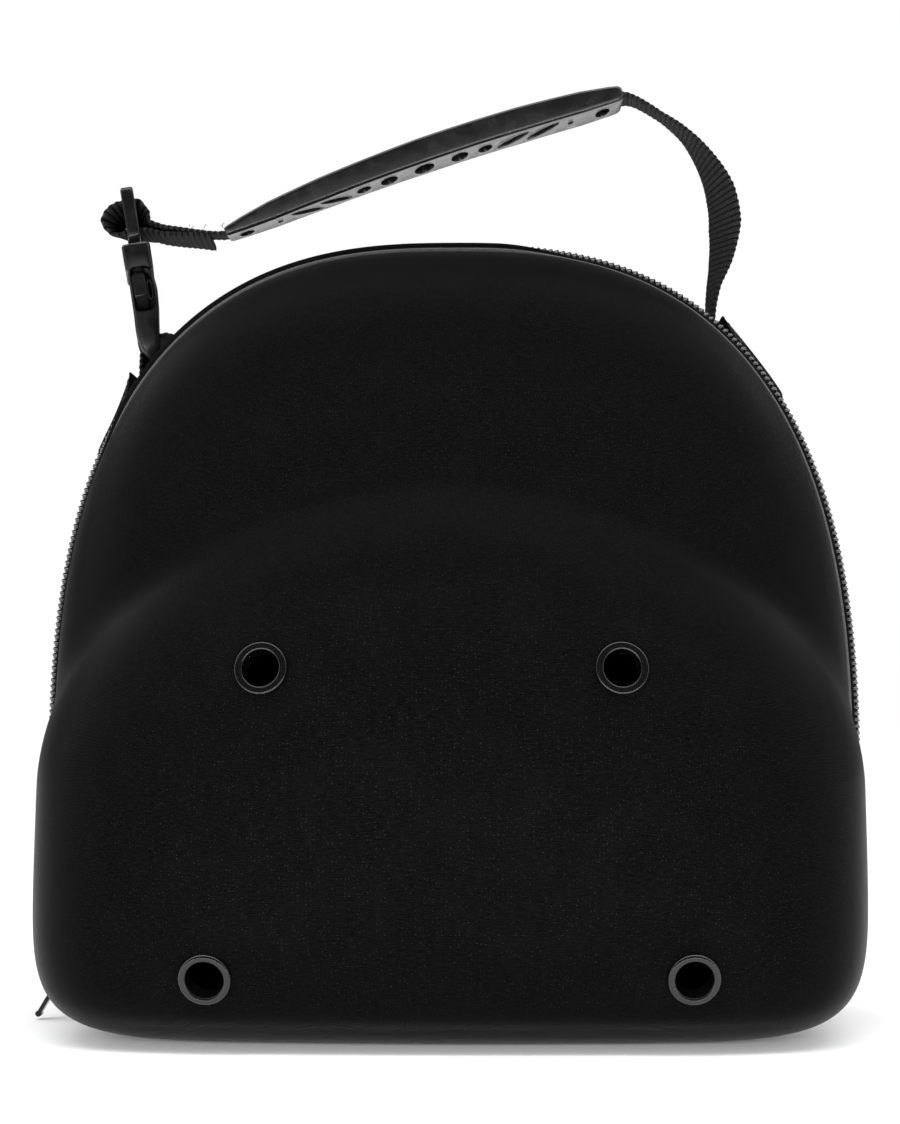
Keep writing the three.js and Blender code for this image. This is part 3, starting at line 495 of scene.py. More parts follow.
def back_place(degrees, depth, height):
    """Place on the back shell's side wall, at a depth from its rim and a height above its skin."""
    phi = np.radians(degrees)

    def at(angle, down):
        reach = rim_radius(angle) * (1 - (down / BACK_DEPTH) ** BACK_POWER) ** (1 / BACK_POWER)
        return np.stack([reach * np.cos(angle), HALF_GAP + down, CENTRE_Z + reach * np.sin(angle)], -1)

    around = at(phi + STEP, depth) - at(phi - STEP, depth)
    deeper = at(phi, depth + STEP) - at(phi, depth - STEP)
    return at(phi, depth) + unit(np.cross(deeper, around)) * np.asarray(height)[..., None]


class Track:
    """Line in the plane of the rim or the strap, read by distance along it."""

    def __init__(self, points):
        self.points = points
        self.marks = lengths_along(points)
        self.length = self.marks[-1]

    def at(self, distance):
        return np.stack([np.interp(distance, self.marks, column) for column in self.points.T], -1)

    def along(self, distance):
        inside = np.clip(distance, TRACK_STEP, self.length - TRACK_STEP)
        return unit(self.at(inside + TRACK_STEP) - self.at(inside - TRACK_STEP))


def rim_track(start, end):
    phi = np.linspace(start, end, RIM_SAMPLES)
    reach = rim_radius(phi)
    height = np.maximum(0, CENTRE_Z + reach * np.sin(phi))
    return Track(np.stack([reach * np.cos(phi), np.zeros_like(phi), height], -1))


def outward(along):
    """Direction out of the rim, from the direction along it."""
    return np.stack([along[..., 2], np.zeros_like(along[..., 0]), -along[..., 0]], -1)


# Meshes
def linked(name, data):
    """New object in the scene, from a mesh, curve, light or camera."""
    obj = bpy.data.objects.new(name, data)
    bpy.context.scene.collection.objects.link(obj)
    return obj


def make_object(name, points, faces):
    """Mesh object from points in the case's frame, with its faces turned outwards."""
    mesh = bpy.data.meshes.new(name)
    mesh.from_pydata((np.asarray(points, float).reshape(-1, 3) * MM + SHIFT).tolist(), [], faces)
    bm = bmesh.new()
    bm.from_mesh(mesh)
    bmesh.ops.recalc_face_normals(bm, faces=bm.faces)
    bm.to_mesh(mesh)
    bm.free()
    return linked(name, mesh)


def case_points(obj):
    """Vertices of an object in the case's frame."""
    numbers = np.empty(len(obj.data.vertices) * 3)
    obj.data.vertices.foreach_get("co", numbers)
    return (numbers.reshape(-1, 3) - SHIFT) / MM


def set_weave(obj, coordinates):
    """UV map in millimetres, from one pair for each vertex."""
    layer = obj.data.uv_layers.new(name=WEAVE)
    corners = np.empty(len(obj.data.loops), np.int32)
    obj.data.loops.foreach_get("vertex_index", corners)
    layer.uv.foreach_set("vector", np.asarray(coordinates, np.float32)[corners].ravel())


def set_strip_weave(obj, around, along):
    """UV map of a strip, from a place for each point of its section and one for each ring."""
    set_weave(obj, np.stack(np.broadcast_arrays(around, along[:, None]), -1).reshape(-1, 2))


def ring_faces(rings, count, caps=True):
    """Quads between rings of count points each, with flat ends."""
    first = np.arange(rings - 1)[:, None] * count
    column = np.arange(count)
    after = (column + 1) % count
    quads = np.stack([first + column, first + after, first + count + after, first + count + column], -1)
    faces = quads.reshape(-1, 4).tolist()
    if caps:
        faces.append(list(range(count)))
        faces.append(list(range((rings - 1) * count, rings * count)))
    return faces


def sweep(section, origins, across, out):
    """Rings of a section of (across, out) points, carried along a line."""
    section = np.asarray(section, float)
    return origins[:, None] + across[..., None, :] * section[:, :1] + out[:, None] * section[:, 1:]


def tube(path, radius, sides):
    """Points and faces of a round tube along a path, with flat ends."""
    along = unit(np.gradient(path, axis=0))
    side = unit(np.cross(along, ASKEW))
    return sweep(circle(radius, sides), path, side, np.cross(along, side)), ring_faces(len(path), sides)


def joined(parts):
    """Points and faces of several parts as one."""
    points, faces, first = [], [], 0
    for part_points, part_faces in parts:
        points.append(part_points.reshape(-1, 3))
        faces.extend([[first + index for index in face] for face in part_faces])
        first += len(points[-1])
    return np.concatenate(points), faces


def rounded_loop(corners, radius):
    """Closed outline whose corners are rounded."""
    corners = np.asarray(corners, float)
    loop = []
    for before, here, after in zip(np.roll(corners, 1, 0), corners, np.roll(corners, -1, 0)):
        back, ahead = before - here, after - here
        turn = math.acos(np.clip(unit(back) @ unit(ahead), -1, 1))
        longest = CORNER_SHARE * min(np.linalg.norm(back), np.linalg.norm(ahead))
        reach = min(radius / math.tan(turn / 2), longest)
        start, end = here + unit(back) * reach, here + unit(ahead) * reach
        for t in np.linspace(0, 1, CORNER_STEPS):
            loop.append((1 - t) ** 2 * start + 2 * t * (1 - t) * here + t ** 2 * end)
    return np.array(loop)


def rectangle(left, right, low, high):
    return [(left, low), (right, low), (right, high), (left, high)]


def centred(width, height, corner):
    """Rounded rectangle about the origin."""
    return rounded_loop(rectangle(-width / 2, width / 2, -height / 2, height / 2), corner)


def circle(radius, sides):
    return np.stack([np.cos(turns(sides)), np.sin(turns(sides))], -1) * radius


def mirrored(section):
    return [(-u, v) for u, v in reversed(section)]


def plate(outline, holes, thick, edge):
    """Points and faces of a flat plate with rounded edges; its thickness is along its own z."""
    curve = bpy.data.curves.new("plate", "CURVE")
    curve.dimensions = "2D"
    curve.fill_mode = "BOTH"
    curve.extrude = thick / 2 - edge
    curve.bevel_depth = edge
    curve.offset = -edge
    curve.bevel_resolution = PLATE_EDGE_STEPS
    for loop in [outline, *holes]:
        spline = curve.splines.new("POLY")
        spline.points.add(len(loop) - 1)
        spline.points.foreach_set("co", [number for x, y in loop for number in (x, y, 0, 1)])
        spline.use_cyclic_u = True
    holder = linked("plate", curve)
    graph = bpy.context.evaluated_depsgraph_get()
    mesh = bpy.data.meshes.new_from_object(holder.evaluated_get(graph))
    bm = bmesh.new()
    bm.from_mesh(mesh)
    bmesh.ops.remove_doubles(bm, verts=bm.verts, dist=STEP)
    points = np.array([vertex.co for vertex in bm.verts])
    bm.verts.index_update()
    faces = [[vertex.index for vertex in face.verts] for face in bm.faces]
    bm.free()
    bpy.data.objects.remove(holder)
    bpy.data.curves.remove(curve)
    bpy.data.meshes.remove(mesh)
    return points, faces


def placed(part, origin, x_axis, y_axis, z_axis):
    """Part moved from its own frame to a place in the case's frame."""
    points, faces = part
    return points @ np.array([x_axis, y_axis, z_axis]) + origin, faces


def pin(loop, low, high, origin, x_axis, y_axis, z_axis):
    """Points and faces of an outline carried along z_axis, from low to high."""
    ends = [np.column_stack([loop, np.full(len(loop), float(height))]) for height in (low, high)]
    return placed((np.concatenate(ends), ring_faces(2, len(loop))), origin, x_axis, y_axis, z_axis)


def apply_modifiers(obj):
    graph = bpy.context.evaluated_depsgraph_get()
    mesh = bpy.data.meshes.new_from_object(obj.evaluated_get(graph))
    obj.modifiers.clear()
    obj.data = mesh


def combine(obj, operation, parts):
    """Cut parts out of an object, or join them to it."""
    for part in parts:
        tool = make_object("tool", *part)
        modifier = obj.modifiers.new("combine", "BOOLEAN")
        modifier.operation = operation
        modifier.solver = "MANIFOLD"
        modifier.object = tool
        apply_modifiers(obj)
        bpy.data.objects.remove(tool)


def soften(obj, width, segments=2, angle=35):
    """Round the sharp edges of an object."""
    modifier = obj.modifiers.new("soften", "BEVEL")
    modifier.width = width * MM
    modifier.segments = segments
    modifier.limit_method = "ANGLE"
    modifier.angle_limit = math.radians(angle)
    apply_modifiers(obj)


def settle(obj, material, slot, *nodes, body="case", sharp=40):
    """Finish a piece: its material, shading, body and the nodes that it stands for. The slot is not used."""
    obj.data.materials.clear()
    obj.data.materials.append(material)
    obj.data.polygons.foreach_set("use_smooth", [True] * len(obj.data.polygons))
    obj.data.set_sharp_from_angle(angle=math.radians(sharp))
    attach(obj, body)
    if nodes:
        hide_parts(*nodes)


# Materials
def new_material(name):
    material = bpy.data.materials.new(name)
    material.use_nodes = True
    return material, material.node_tree, material.node_tree.nodes["Principled BSDF"]


def fill(tree, node, values):
    """Set inputs of a node, each to a value or to another node's output."""
    for key, value in values.items():
        if hasattr(value, "is_output"):
            tree.links.new(value, node.inputs[key])
        else:
            node.inputs[key].default_value = value


def add(tree, kind, values=None, **settings):
    """New shader node with its settings and inputs."""
    node = tree.nodes.new(kind)
    for key, value in settings.items():
        setattr(node, key, value)
    fill(tree, node, values or {})
    return node


def math_node(tree, operation, first, second=0.0):
    """Sum of two numbers, or another operation on them, each an output or a value."""
    return add(tree, "ShaderNodeMath", {0: first, 1: second}, operation=operation).outputs[0]


def times(tree, first, second):
    return math_node(tree, "MULTIPLY", first, second)


def mix_colour(tree, share, *ends):
    """Colour between two ends, by a share; each end is an output or a colour's pair."""
    first, second = (end if hasattr(end, "is_output") else (end[0], *end, 1) for end in ends)
    values = {MIX_SHARE: share, MIX_FIRST: first, MIX_SECOND: second}
    return add(tree, "ShaderNodeMix", values, data_type="RGBA").outputs[MIX_RESULT]


def scaled(tree, vector, scale):
    return add(tree, "ShaderNodeMapping", {"Vector": vector, "Scale": scale}).outputs[0]


def noise(tree, vector, scale, detail):
    values = {"Vector": vector, "Scale": scale, "Detail": detail}
    return add(tree, "ShaderNodeTexNoise", values).outputs[0]


def bricks(tree, vector, width, height, gap):
    """Share of the gaps in staggered rows of bricks."""
    values = {"Vector": vector, "Scale": 1, "Mortar Size": gap, "Mortar Smooth": 1,
              "Brick Width": width, "Row Height": height}
    return add(tree, "ShaderNodeTexBrick", values, offset=0.5).outputs["Fac"]


def ramp(tree, value, low, high, start=0.0, end=1.0):
    """Value carried smoothly from one range to another, and held at its ends."""
    values = {"Value": value, "From Min": low, "From Max": high, "To Min": start, "To Max": end}
    return add(tree, "ShaderNodeMapRange", values, interpolation_type="SMOOTHSTEP").outputs[0]


def bump(tree, height, distance, strength):
    """Normal of a bumped surface, from a height and a distance in millimetres."""
    values = {"Height": height, "Distance": distance * MM, "Strength": strength}
    return add(tree, "ShaderNodeBump", values).outputs[0]


def weave_places(tree):
    """Coordinates of the weave in millimetres."""
    return add(tree, "ShaderNodeUVMap", uv_map=WEAVE).outputs[0]


def own_millimetres(tree):
    """Object coordinates in millimetres."""
    return scaled(tree, add(tree, "ShaderNodeTexCoord").outputs["Object"], (1 / MM, 1 / MM, 1 / MM))


def lint_share(tree, vector, scale, size, kept, dimensions="3D"):
    """Small specks: one in each cell of a random mesh, of which some are kept."""
    values = {"Vector": vector, "Scale": scale}
    cells = add(tree, "ShaderNodeTexVoronoi", values, voronoi_dimensions=dimensions)
    near = ramp(tree, cells.outputs["Distance"], size * scale, size * scale / 2)
    chance = add(tree, "ShaderNodeSeparateColor", {0: cells.outputs["Color"]})
    picked = math_node(tree, "LESS_THAN", chance.outputs[0], kept)
    return times(tree, times(tree, near, picked), chance.outputs[1])


def knit_material():
    """Fine black knit bonded to foam: rows of small stitches, faint streaks and a little lint."""
    material, tree, shader = new_material("black_knit")
    weave = weave_places(tree)
    streaks = noise(tree, scaled(tree, weave, KNIT_STREAK), scale=1.0, detail=3.0)
    clouds = noise(tree, weave, scale=0.06, detail=4.0)
    grain = noise(tree, weave, scale=2.6, detail=1.0)
    shade = math_node(tree, "ADD", times(tree, streaks, STREAK_SHARE), times(tree, grain, GRAIN_SHARE))
    tone = mix_colour(tree, ramp(tree, shade, *KNIT_TONE), KNIT_DARK, KNIT_LIGHT)
    worn = mix_colour(tree, ramp(tree, clouds, *KNIT_WEAR), tone, KNIT_WORN)
    lint = lint_share(tree, weave, scale=0.8, size=0.22, kept=0.35, dimensions="2D")
    colour = mix_colour(tree, times(tree, lint, LINT_STRENGTH), worn, KNIT_LINT)
    raised = math_node(tree, "SUBTRACT", times(tree, shade, KNIT_RELIEF), bricks(tree, weave, *KNIT_STITCH))
    normal = bump(tree, raised, distance=0.12, strength=0.5)
    fill(tree, shader, {"Base Color": colour, "Normal": normal, **KNIT_SHINE})
    return material


def woven_material(name, light, dark, thread, roughness, specular, sheen, rib):
    """Black woven tape or webbing, with threads, and ribs if any, across it at pitches in millimetres; the
    grooves between ribs get painted shade.
    """
    material, tree, shader = new_material(name)
    weave = weave_places(tree)
    threads = bricks(tree, weave, *(thread * share for share in THREAD_SHAPE))
    fuzz = noise(tree, weave, scale=1.7, detail=4.0)
    shade = math_node(tree, "SUBTRACT", fuzz, times(tree, threads, THREAD_SHADE))
    tone = ramp(tree, shade, *WOVEN_TONE)
    # Painted shade: the colour darkens in the grooves between the ribs, in step with their relief
    if rib:
        axes = add(tree, "ShaderNodeSeparateXYZ", {0: weave})
        rib_shade_wave = math_node(tree, "SINE", times(tree, axes.outputs["Y"], math.pi / rib))
        tone = times(tree, tone, ramp(tree, math_node(tree, "ABSOLUTE", rib_shade_wave), *RIB_PAINTED_SHADE))
    fill(tree, shader, {
        "Base Color": mix_colour(tree, tone, dark, light),
        "Roughness": roughness,
        "Specular IOR Level": specular,
        "Sheen Weight": sheen,
        "Sheen Roughness": WOVEN_SHEEN_ROUGHNESS,
        "Normal": bump(tree, shade, distance=0.16, strength=0.8),
    })
    return material


def plastic_material(name, colour, pale, roughness, swing, grain, depth, gloss):
    """Moulded black plastic with a fine grain and uneven gloss."""
    material, tree, shader = new_material(name)
    place = own_millimetres(tree)
    cloud = noise(tree, place, scale=0.22, detail=4.0)
    fine = noise(tree, place, scale=grain, detail=2.0)
    fill(tree, shader, {
        "Base Color": mix_colour(tree, ramp(tree, cloud, *PLASTIC_TONE), colour, pale),
        "Roughness": ramp(tree, cloud, *GLOSS_RANGE, roughness - swing, roughness + swing),
        "Specular IOR Level": gloss,
        "Normal": bump(tree, fine, depth, strength=0.5),
    })
    return material


def enamel_material():
    """Glossy black enamel on a rolled metal ring, with faint specks of wear."""
    material, tree, shader = new_material("black_enamel")
    place = own_millimetres(tree)
    worn = lint_share(tree, place, scale=0.8, size=0.12, kept=0.25)
    film = noise(tree, place, scale=0.5, detail=3.0)
    fill(tree, shader, {
        "Base Color": mix_colour(tree, times(tree, worn, WEAR_STRENGTH), ENAMEL_BLACK, ENAMEL_WORN),
        "Roughness": ramp(tree, film, *ENAMEL_GLOSS),
        "Normal": bump(tree, film, distance=0.05, strength=0.3),
    })
    return material


KNIT = knit_material()
# EDGE_HIGHLIGHT is the rolled edge's finish, painted pale as a highlight
WEBBING, TAPE, EDGE_HIGHLIGHT, THREAD = (woven_material(name, *row) for name, row in WOVEN.items())
COIL, BUCKLE, GRIP = (plastic_material(name, *row) for name, row in PLASTIC.items())
ENAMEL = enamel_material()


# Shells
def shell_mesh(name, reach_at, side, rings, dimples=()):
    """Padded shell: inner skin, a rounded rim and outer skin, as rings about the centre line."""
    even = turns(SHELL_COLUMNS)
    phi = even + CORNER_BUNCH * np.sin(BUNCHES * even)
    rows = []
    for theta in np.linspace(math.pi / 2, 0, INNER_RINGS + 1)[1:]:
        rows.append(shell_points(reach_at, side, phi, np.full_like(phi, theta), WALL))
    rim = reach_at(phi, np.zeros_like(phi), 0)
    for angle in np.linspace(math.pi / 2, 0, RIM_STEPS):
        out = rim - RIM_ROUND * (1 - math.cos(angle))
        height = np.maximum(0, CENTRE_Z + out * np.sin(phi))
        depth = np.full_like(phi, side * (HALF_GAP + RIM_ROUND * (1 - math.sin(angle))))
        rows.append(np.stack([out * np.cos(phi), depth, height], -1))
    first_outer = len(rows)
    start = np.arcsin(RIM_ROUND / rim)
    for share in np.linspace(0, 1, rings + 1)[1:-1]:
        rows.append(shell_points(reach_at, side, phi, lerp(start, math.pi / 2, share), 0))
    points = np.array(rows)
    for place, normal in dimples:
        gap = np.linalg.norm(points[first_outer:] - place, axis=-1)
        sink = DIMPLE_DEPTH * np.exp(-(np.maximum(0, gap - DIMPLE_FLAT) / DIMPLE_FADE) ** 2)
        points[first_outer:] -= sink[..., None] * normal
    faces = ring_faces(len(rows), SHELL_COLUMNS, caps=False)
    poles = [shell_points(reach_at, side, np.array(0.0), np.array(math.pi / 2), inset) for inset in (WALL, 0)]
    inner_pole = len(rows) * SHELL_COLUMNS
    last_row = inner_pole - SHELL_COLUMNS
    for i in range(SHELL_COLUMNS):
        after = (i + 1) % SHELL_COLUMNS
        faces.append([i, after, inner_pole])
        faces.append([last_row + i, last_row + after, inner_pole + 1])
    return make_object(name, np.concatenate([points.reshape(-1, 3), poles]), faces)


def drape(obj, deepest):
    """Weave laid from the middle of the shell outwards and round its sides."""
    points = case_points(obj)
    phi = np.arctan2(points[:, 2] - CENTRE_Z, points[:, 0])
    out = np.hypot(points[:, 2] - CENTRE_Z, points[:, 0])
    travel = out + deepest - (np.abs(points[:, 1]) - HALF_GAP)
    set_weave(obj, np.stack([travel * np.cos(phi), travel * np.sin(phi)], -1))


def eyelet_axes(normal):
    """Two directions across an eyelet's axis."""
    side = unit(np.cross(normal, Z_AXIS))
    return side, np.cross(normal, side)


def eyelet_profile(power):
    """Crown, barrel and washer of an eyelet; a greater power makes the crown flatter."""
    middle = (EYELET_RADIUS + EYELET_HOLE) / 2
    half = (EYELET_RADIUS - EYELET_HOLE) / 2
    angle = np.linspace(0, math.pi, CROWN_STEPS)
    across = np.sign(np.cos(angle)) * np.abs(np.cos(angle)) ** (2 / power)
    height = np.maximum(np.sin(angle), 0) ** (2 / power)
    crown = np.stack([middle + half * across, EYELET_SEAT + EYELET_CROWN * height], -1)
    foot = [(EYELET_HOLE, WASHER_FOOT), (EYELET_WASHER, WASHER_FOOT), (EYELET_WASHER, WASHER_TOP),
            (EYELET_BARREL, WASHER_TOP), (EYELET_BARREL, EYELET_SEAT)]
    return np.concatenate([crown, foot])


def eyelet_lathe(profile, place, normal):
    """Points and faces of a closed profile of (radius, height) turned about an eyelet's axis."""
    spoke = circle(1, EYELET_SIDES) @ np.array(eyelet_axes(normal))
    rings = place + spoke[:, None] * profile[:, :1] + normal * profile[:, 1:]
    total = EYELET_SIDES * len(profile)
    quads = np.array(ring_faces(EYELET_SIDES + 1, len(profile), caps=False)) % total
    return rings, quads.tolist()


def make_shells():
    eyelets = {name: front_place(*place) for name, place in EYELET_PLACES.items()}
    front = shell_mesh("front_shell_cover", front_reach, -1, FRONT_RINGS, eyelets.values())
    bore = circle(EYELET_BORE, EYELET_SIDES)
    combine(front, "DIFFERENCE", [pin(bore, -BORE_REACH, BORE_REACH, place, *eyelet_axes(normal), normal)
                                  for place, normal in eyelets.values()])
    back = shell_mesh("back_shell_cover", back_reach, 1, BACK_RINGS)
    for shell, node, depth in ((front, "front_shell", BULGE_DEPTH), (back, "back_shell", BACK_DEPTH)):
        drape(shell, depth)
        settle(shell, KNIT, "shell_fabric", node, sharp=50)
    for name, (place, normal) in eyelets.items():
        profile = eyelet_profile(CROWN_POWERS[name.split("_")[1]])
        ring = make_object(name + "_ring", *eyelet_lathe(profile, place, normal))
        settle(ring, ENAMEL, "eyelet_enamel", name)


# Zipper
def make_strip(name, section, girth, lip, track, material, slot, *nodes):
    """Woven strip: a section carried along the rim; lip is each point's share of the lip's rise."""
    stations = np.linspace(0, track.length, int(track.length / TAPE_STEP))
    out = outward(track.along(np.clip(stations, TAPE_END, track.length - TAPE_END)))
    centre = track.at(stations)
    cover = smoothstep(centre[:, 0], *LIP_LEFT) * (1 - smoothstep(centre[:, 0], *LIP_RIGHT))
    rise = LIP_RISE * cover[:, None] * np.broadcast_to(lip, len(section))
    rings = sweep(section, centre, Y_AXIS, out) + out[:, None] * rise[..., None]
    obj = make_object(name, rings, ring_faces(len(stations), len(section)))
    set_strip_weave(obj, girth, stations)
    settle(obj, material, slot, *nodes, sharp=60)


def make_tape(node, section, lip, track):
    girth = lengths_along(np.array(section, float))
    make_strip(node + "_weave", section, girth, lip, track, TAPE, "zipper_tape", node)


def make_edge(name, side, track):
    """Rolled edge of a shell's fabric, along its rim, coloured pale as a painted highlight where the rim
    catches the light.
    """
    depth, height = EDGE_PLACE[side]
    ring = circle(1, EDGE_SIDES)
    section = ring * EDGE_HALF + np.array([side * depth, height])
    girth = np.arange(EDGE_SIDES) * EDGE_HALF[0]
    make_strip(name, section, girth, EDGE_LIFT[side] * (1 + ring[:, 1]) / 2, track, EDGE_HIGHLIGHT, "shell_fabric")


def make_teeth(track):
    """Two rows of bent nylon teeth that mesh along the middle of the closed zipper."""
    path = np.array(TOOTH_PATH)
    slope = unit(np.gradient(path[:, :2], axis=0))
    ring = circle(TOOTH_RADIUS, TOOTH_SIDES)
    across = path[:, None, 0] - ring[:, 1] * slope[:, None, 1]
    out = path[:, None, 1] + ring[:, 1] * slope[:, None, 0]
    ahead = path[:, None, 2] + ring[:, 0]
    template = ring_faces(len(path), TOOTH_SIDES)
    parts = []
    for side in (-1, 1):
        first = TOOTH_MARGIN + (TOOTH_PITCH / 2 if side > 0 else 0)
        stations = np.arange(first, track.length - TOOTH_MARGIN, TOOTH_PITCH)
        along = track.along(stations)
        for place, forward, up in zip(track.at(stations), along, outward(along)):
            points = place + forward * ahead[..., None] + up * out[..., None]
            points[..., 1] += side * across
            parts.append((points, template))
    teeth = make_object("zipper_teeth", *joined(parts))
    settle(teeth, COIL, "zipper_coil", "zipper_chain", sharp=70)


def make_slider():
    phi = SLIDER_ANGLE + STEP * np.array([-1, 0, 1])
    reach = rim_radius(phi)
    before, seat, after = np.stack([reach * np.cos(phi), np.zeros(3), CENTRE_Z + reach * np.sin(phi)], -1)
    out = outward(unit(after - before))
    along = np.cross(Y_AXIS, out)
    inner = SLIDER_HALF - SLIDER_WALL
    half = [(SLIDER_HALF, SLIDER_TOP), (SLIDER_HALF, SLIDER_FOOT), (inner, SLIDER_FOOT), (inner, SLIDER_ROOF)]
    channel = plate(rounded_loop(half + mirrored(half), SLIDER_CORNER), [], SLIDER_LENGTH, SLIDER_EDGE)
    body = make_object("zipper_slider_body", *placed(channel, seat, Y_AXIS, out, along))
    top = BAIL_BAR + BAIL_HOLE + BAIL_ROOF
    half = [(BAIL_HALF - BAIL_CUT, top), (BAIL_HALF, top - BAIL_CUT), (BAIL_HALF, SLIDER_TOP - BAIL_SINK)]
    hole = circle(BAIL_HOLE, BAIL_SIDES) + np.array([0, BAIL_BAR])
    bail = plate(rounded_loop(mirrored(half) + half, BAIL_CORNER), [hole], BAIL_WIDTH, SLIDER_EDGE)
    combine(body, "UNION", [placed(bail, seat, along, out, -Y_AXIS)])
    settle(body, BUCKLE, "buckle_plastic", "zipper_slider")
    make_pull(seat + out * BAIL_BAR)


def make_pull(bar):
    """Flat tab with a window round the slider's bail and a bulbed tip."""
    start, end, half, corner = PULL_WINDOW
    shoulder = end + PULL_MARGIN
    neck = PULL_LENGTH - PULL_BULB
    outline = [(-start, -PULL_HALF), (-start, PULL_HALF), (shoulder, PULL_HALF),
               (neck, PULL_TIP_HALF), (neck, -PULL_TIP_HALF), (shoulder, -PULL_HALF)]
    window = rounded_loop(rectangle(start, end, -half, half), corner)
    direction = np.array([-math.sin(PULL_LEAN), 0, -math.cos(PULL_LEAN)])
    flat = np.cross(direction, Y_AXIS)
    leaf = plate(rounded_loop(outline, PULL_CORNER), [window], PULL_THICK, PULL_EDGE)
    tab = make_object("zipper_pull_tab", *placed(leaf, bar, direction, Y_AXIS, flat))
    bulb = plate(circle(PULL_BULB, BULB_SIDES), [], 2 * PULL_TIP_HALF, PULL_EDGE)
    combine(tab, "UNION", [placed(bulb, bar + direction * neck, direction, -flat, Y_AXIS)])
    settle(tab, BUCKLE, "buckle_plastic", "zipper_pull", body="pull")


def make_zipper():
    zip_line = rim_track(ZIP_END, math.pi - ZIP_END)
    make_tape("zipper_tape_front", mirrored(TAPE_SECTION), TAPE_LIP[::-1], zip_line)
    make_tape("zipper_tape_back", TAPE_SECTION, 0, zip_line)
    hinge = [*HINGE_HALF, *mirrored(HINGE_HALF), *mirrored(HINGE_UNDER), *HINGE_UNDER]
    make_tape("hinge_tape", hinge, 0, rim_track(-math.pi - HINGE_END, HINGE_END))
    make_teeth(zip_line)
    make_edge("front_shell_edge", -1, zip_line)
    make_edge("back_shell_edge", 1, zip_line)
    make_slider()


# Grip
def grip_points(t):
    left = np.array([GRIP_LEFT[0], STRAP_Y, GRIP_LEFT[1]])
    chord = np.array([GRIP_RIGHT[0] - GRIP_LEFT[0], 0, GRIP_RIGHT[1] - GRIP_LEFT[1]])
    up = unit(np.array([-chord[2], 0, chord[0]]))
    return left + chord * t[:, None] + up * (4 * GRIP_ARCH * t * (1 - t))[:, None]


def grip_roll(t):
    """Degrees by which the grip's back edge is raised."""
    return np.interp(t, *np.array(GRIP_ROLL).T)


def grip_frames(t):
    """Centre of the grip with its directions along, across and up."""
    along = unit(grip_points(t + STEP) - grip_points(t - STEP))
    level = -outward(along)
    roll = np.radians(grip_roll(t))[:, None]
    across = np.cos(roll) * Y_AXIS + np.sin(roll) * level
    return grip_points(t), along, across, np.cos(roll) * level - np.sin(roll) * Y_AXIS


def make_grip():
    marks, widths, thicks = np.array(GRIP_SECTIONS).T
    t = np.unique(np.concatenate([marks, np.linspace(0, 1, GRIP_STATIONS)]))
    centre, _, across, up = grip_frames(t)
    sizes = zip(np.interp(t, marks, widths), np.interp(t, marks, thicks))
    rings = []
    for place, aside, lift, (width, thick) in zip(centre, across, up, sizes):
        section = centred(width, thick, min(GRIP_ROUND, GRIP_ROUND_SHARE * thick))
        rings.append(place + section[:, :1] * aside + section[:, 1:] * lift)
    grip = make_object("grip_handle", rings, ring_faces(len(rings), len(rings[0])))
    slot = centred(*GRIP_SLOT)
    centre, _, across, up = grip_frames(np.linspace(-GRIP_SLOT_REACH, 1 + GRIP_SLOT_REACH, GRIP_STATIONS))
    tools = [(sweep(slot, centre, across, up), ring_faces(GRIP_STATIONS, len(slot)))]
    for place, length, wide, turn in GRIP_CUTS:
        spin = np.array([[math.cos(turn), math.sin(turn)], [-math.sin(turn), math.cos(turn)]])
        oval = circle(1, CUT_SIDES) * np.array([length / 2, wide / 2]) @ spin
        deepest = np.interp(place, marks, thicks)
        tools.append(pin(oval, -deepest, 0, *(row[0] for row in grip_frames(np.array([place])))))
    combine(grip, "DIFFERENCE", tools)
    soften(grip, EDGE_ROUND)
    settle(grip, GRIP, "grip_plastic", "grip")


# Webbing
def tuck_rows(rows):
    """Rows of (x, z, turn) for webbing that lies on the back shell."""
    degrees, height = np.array(rows, float).T
    places = back_place(degrees, np.full_like(degrees, STRAP_Y - HALF_GAP), height)
    return [(x, z, 0) for x, _, z in places]


def weave_relief(across, along, flip):
    """Height of the woven surface: rounded ribs across the webbing, parted by shallow columns."""
    rib = np.abs(np.sin(math.pi * (along / WEB_PITCH + flip / 2)))
    column = np.abs(np.sin(math.pi * ((across + WEB_WIDTH / 2) / WEB_COLUMN + flip / 2)))
    return WEB_RELIEF * rib ** WEB_RIB_POWER * lerp(WEB_RIB_SHARE, 1, column ** WEB_COLUMN_POWER)


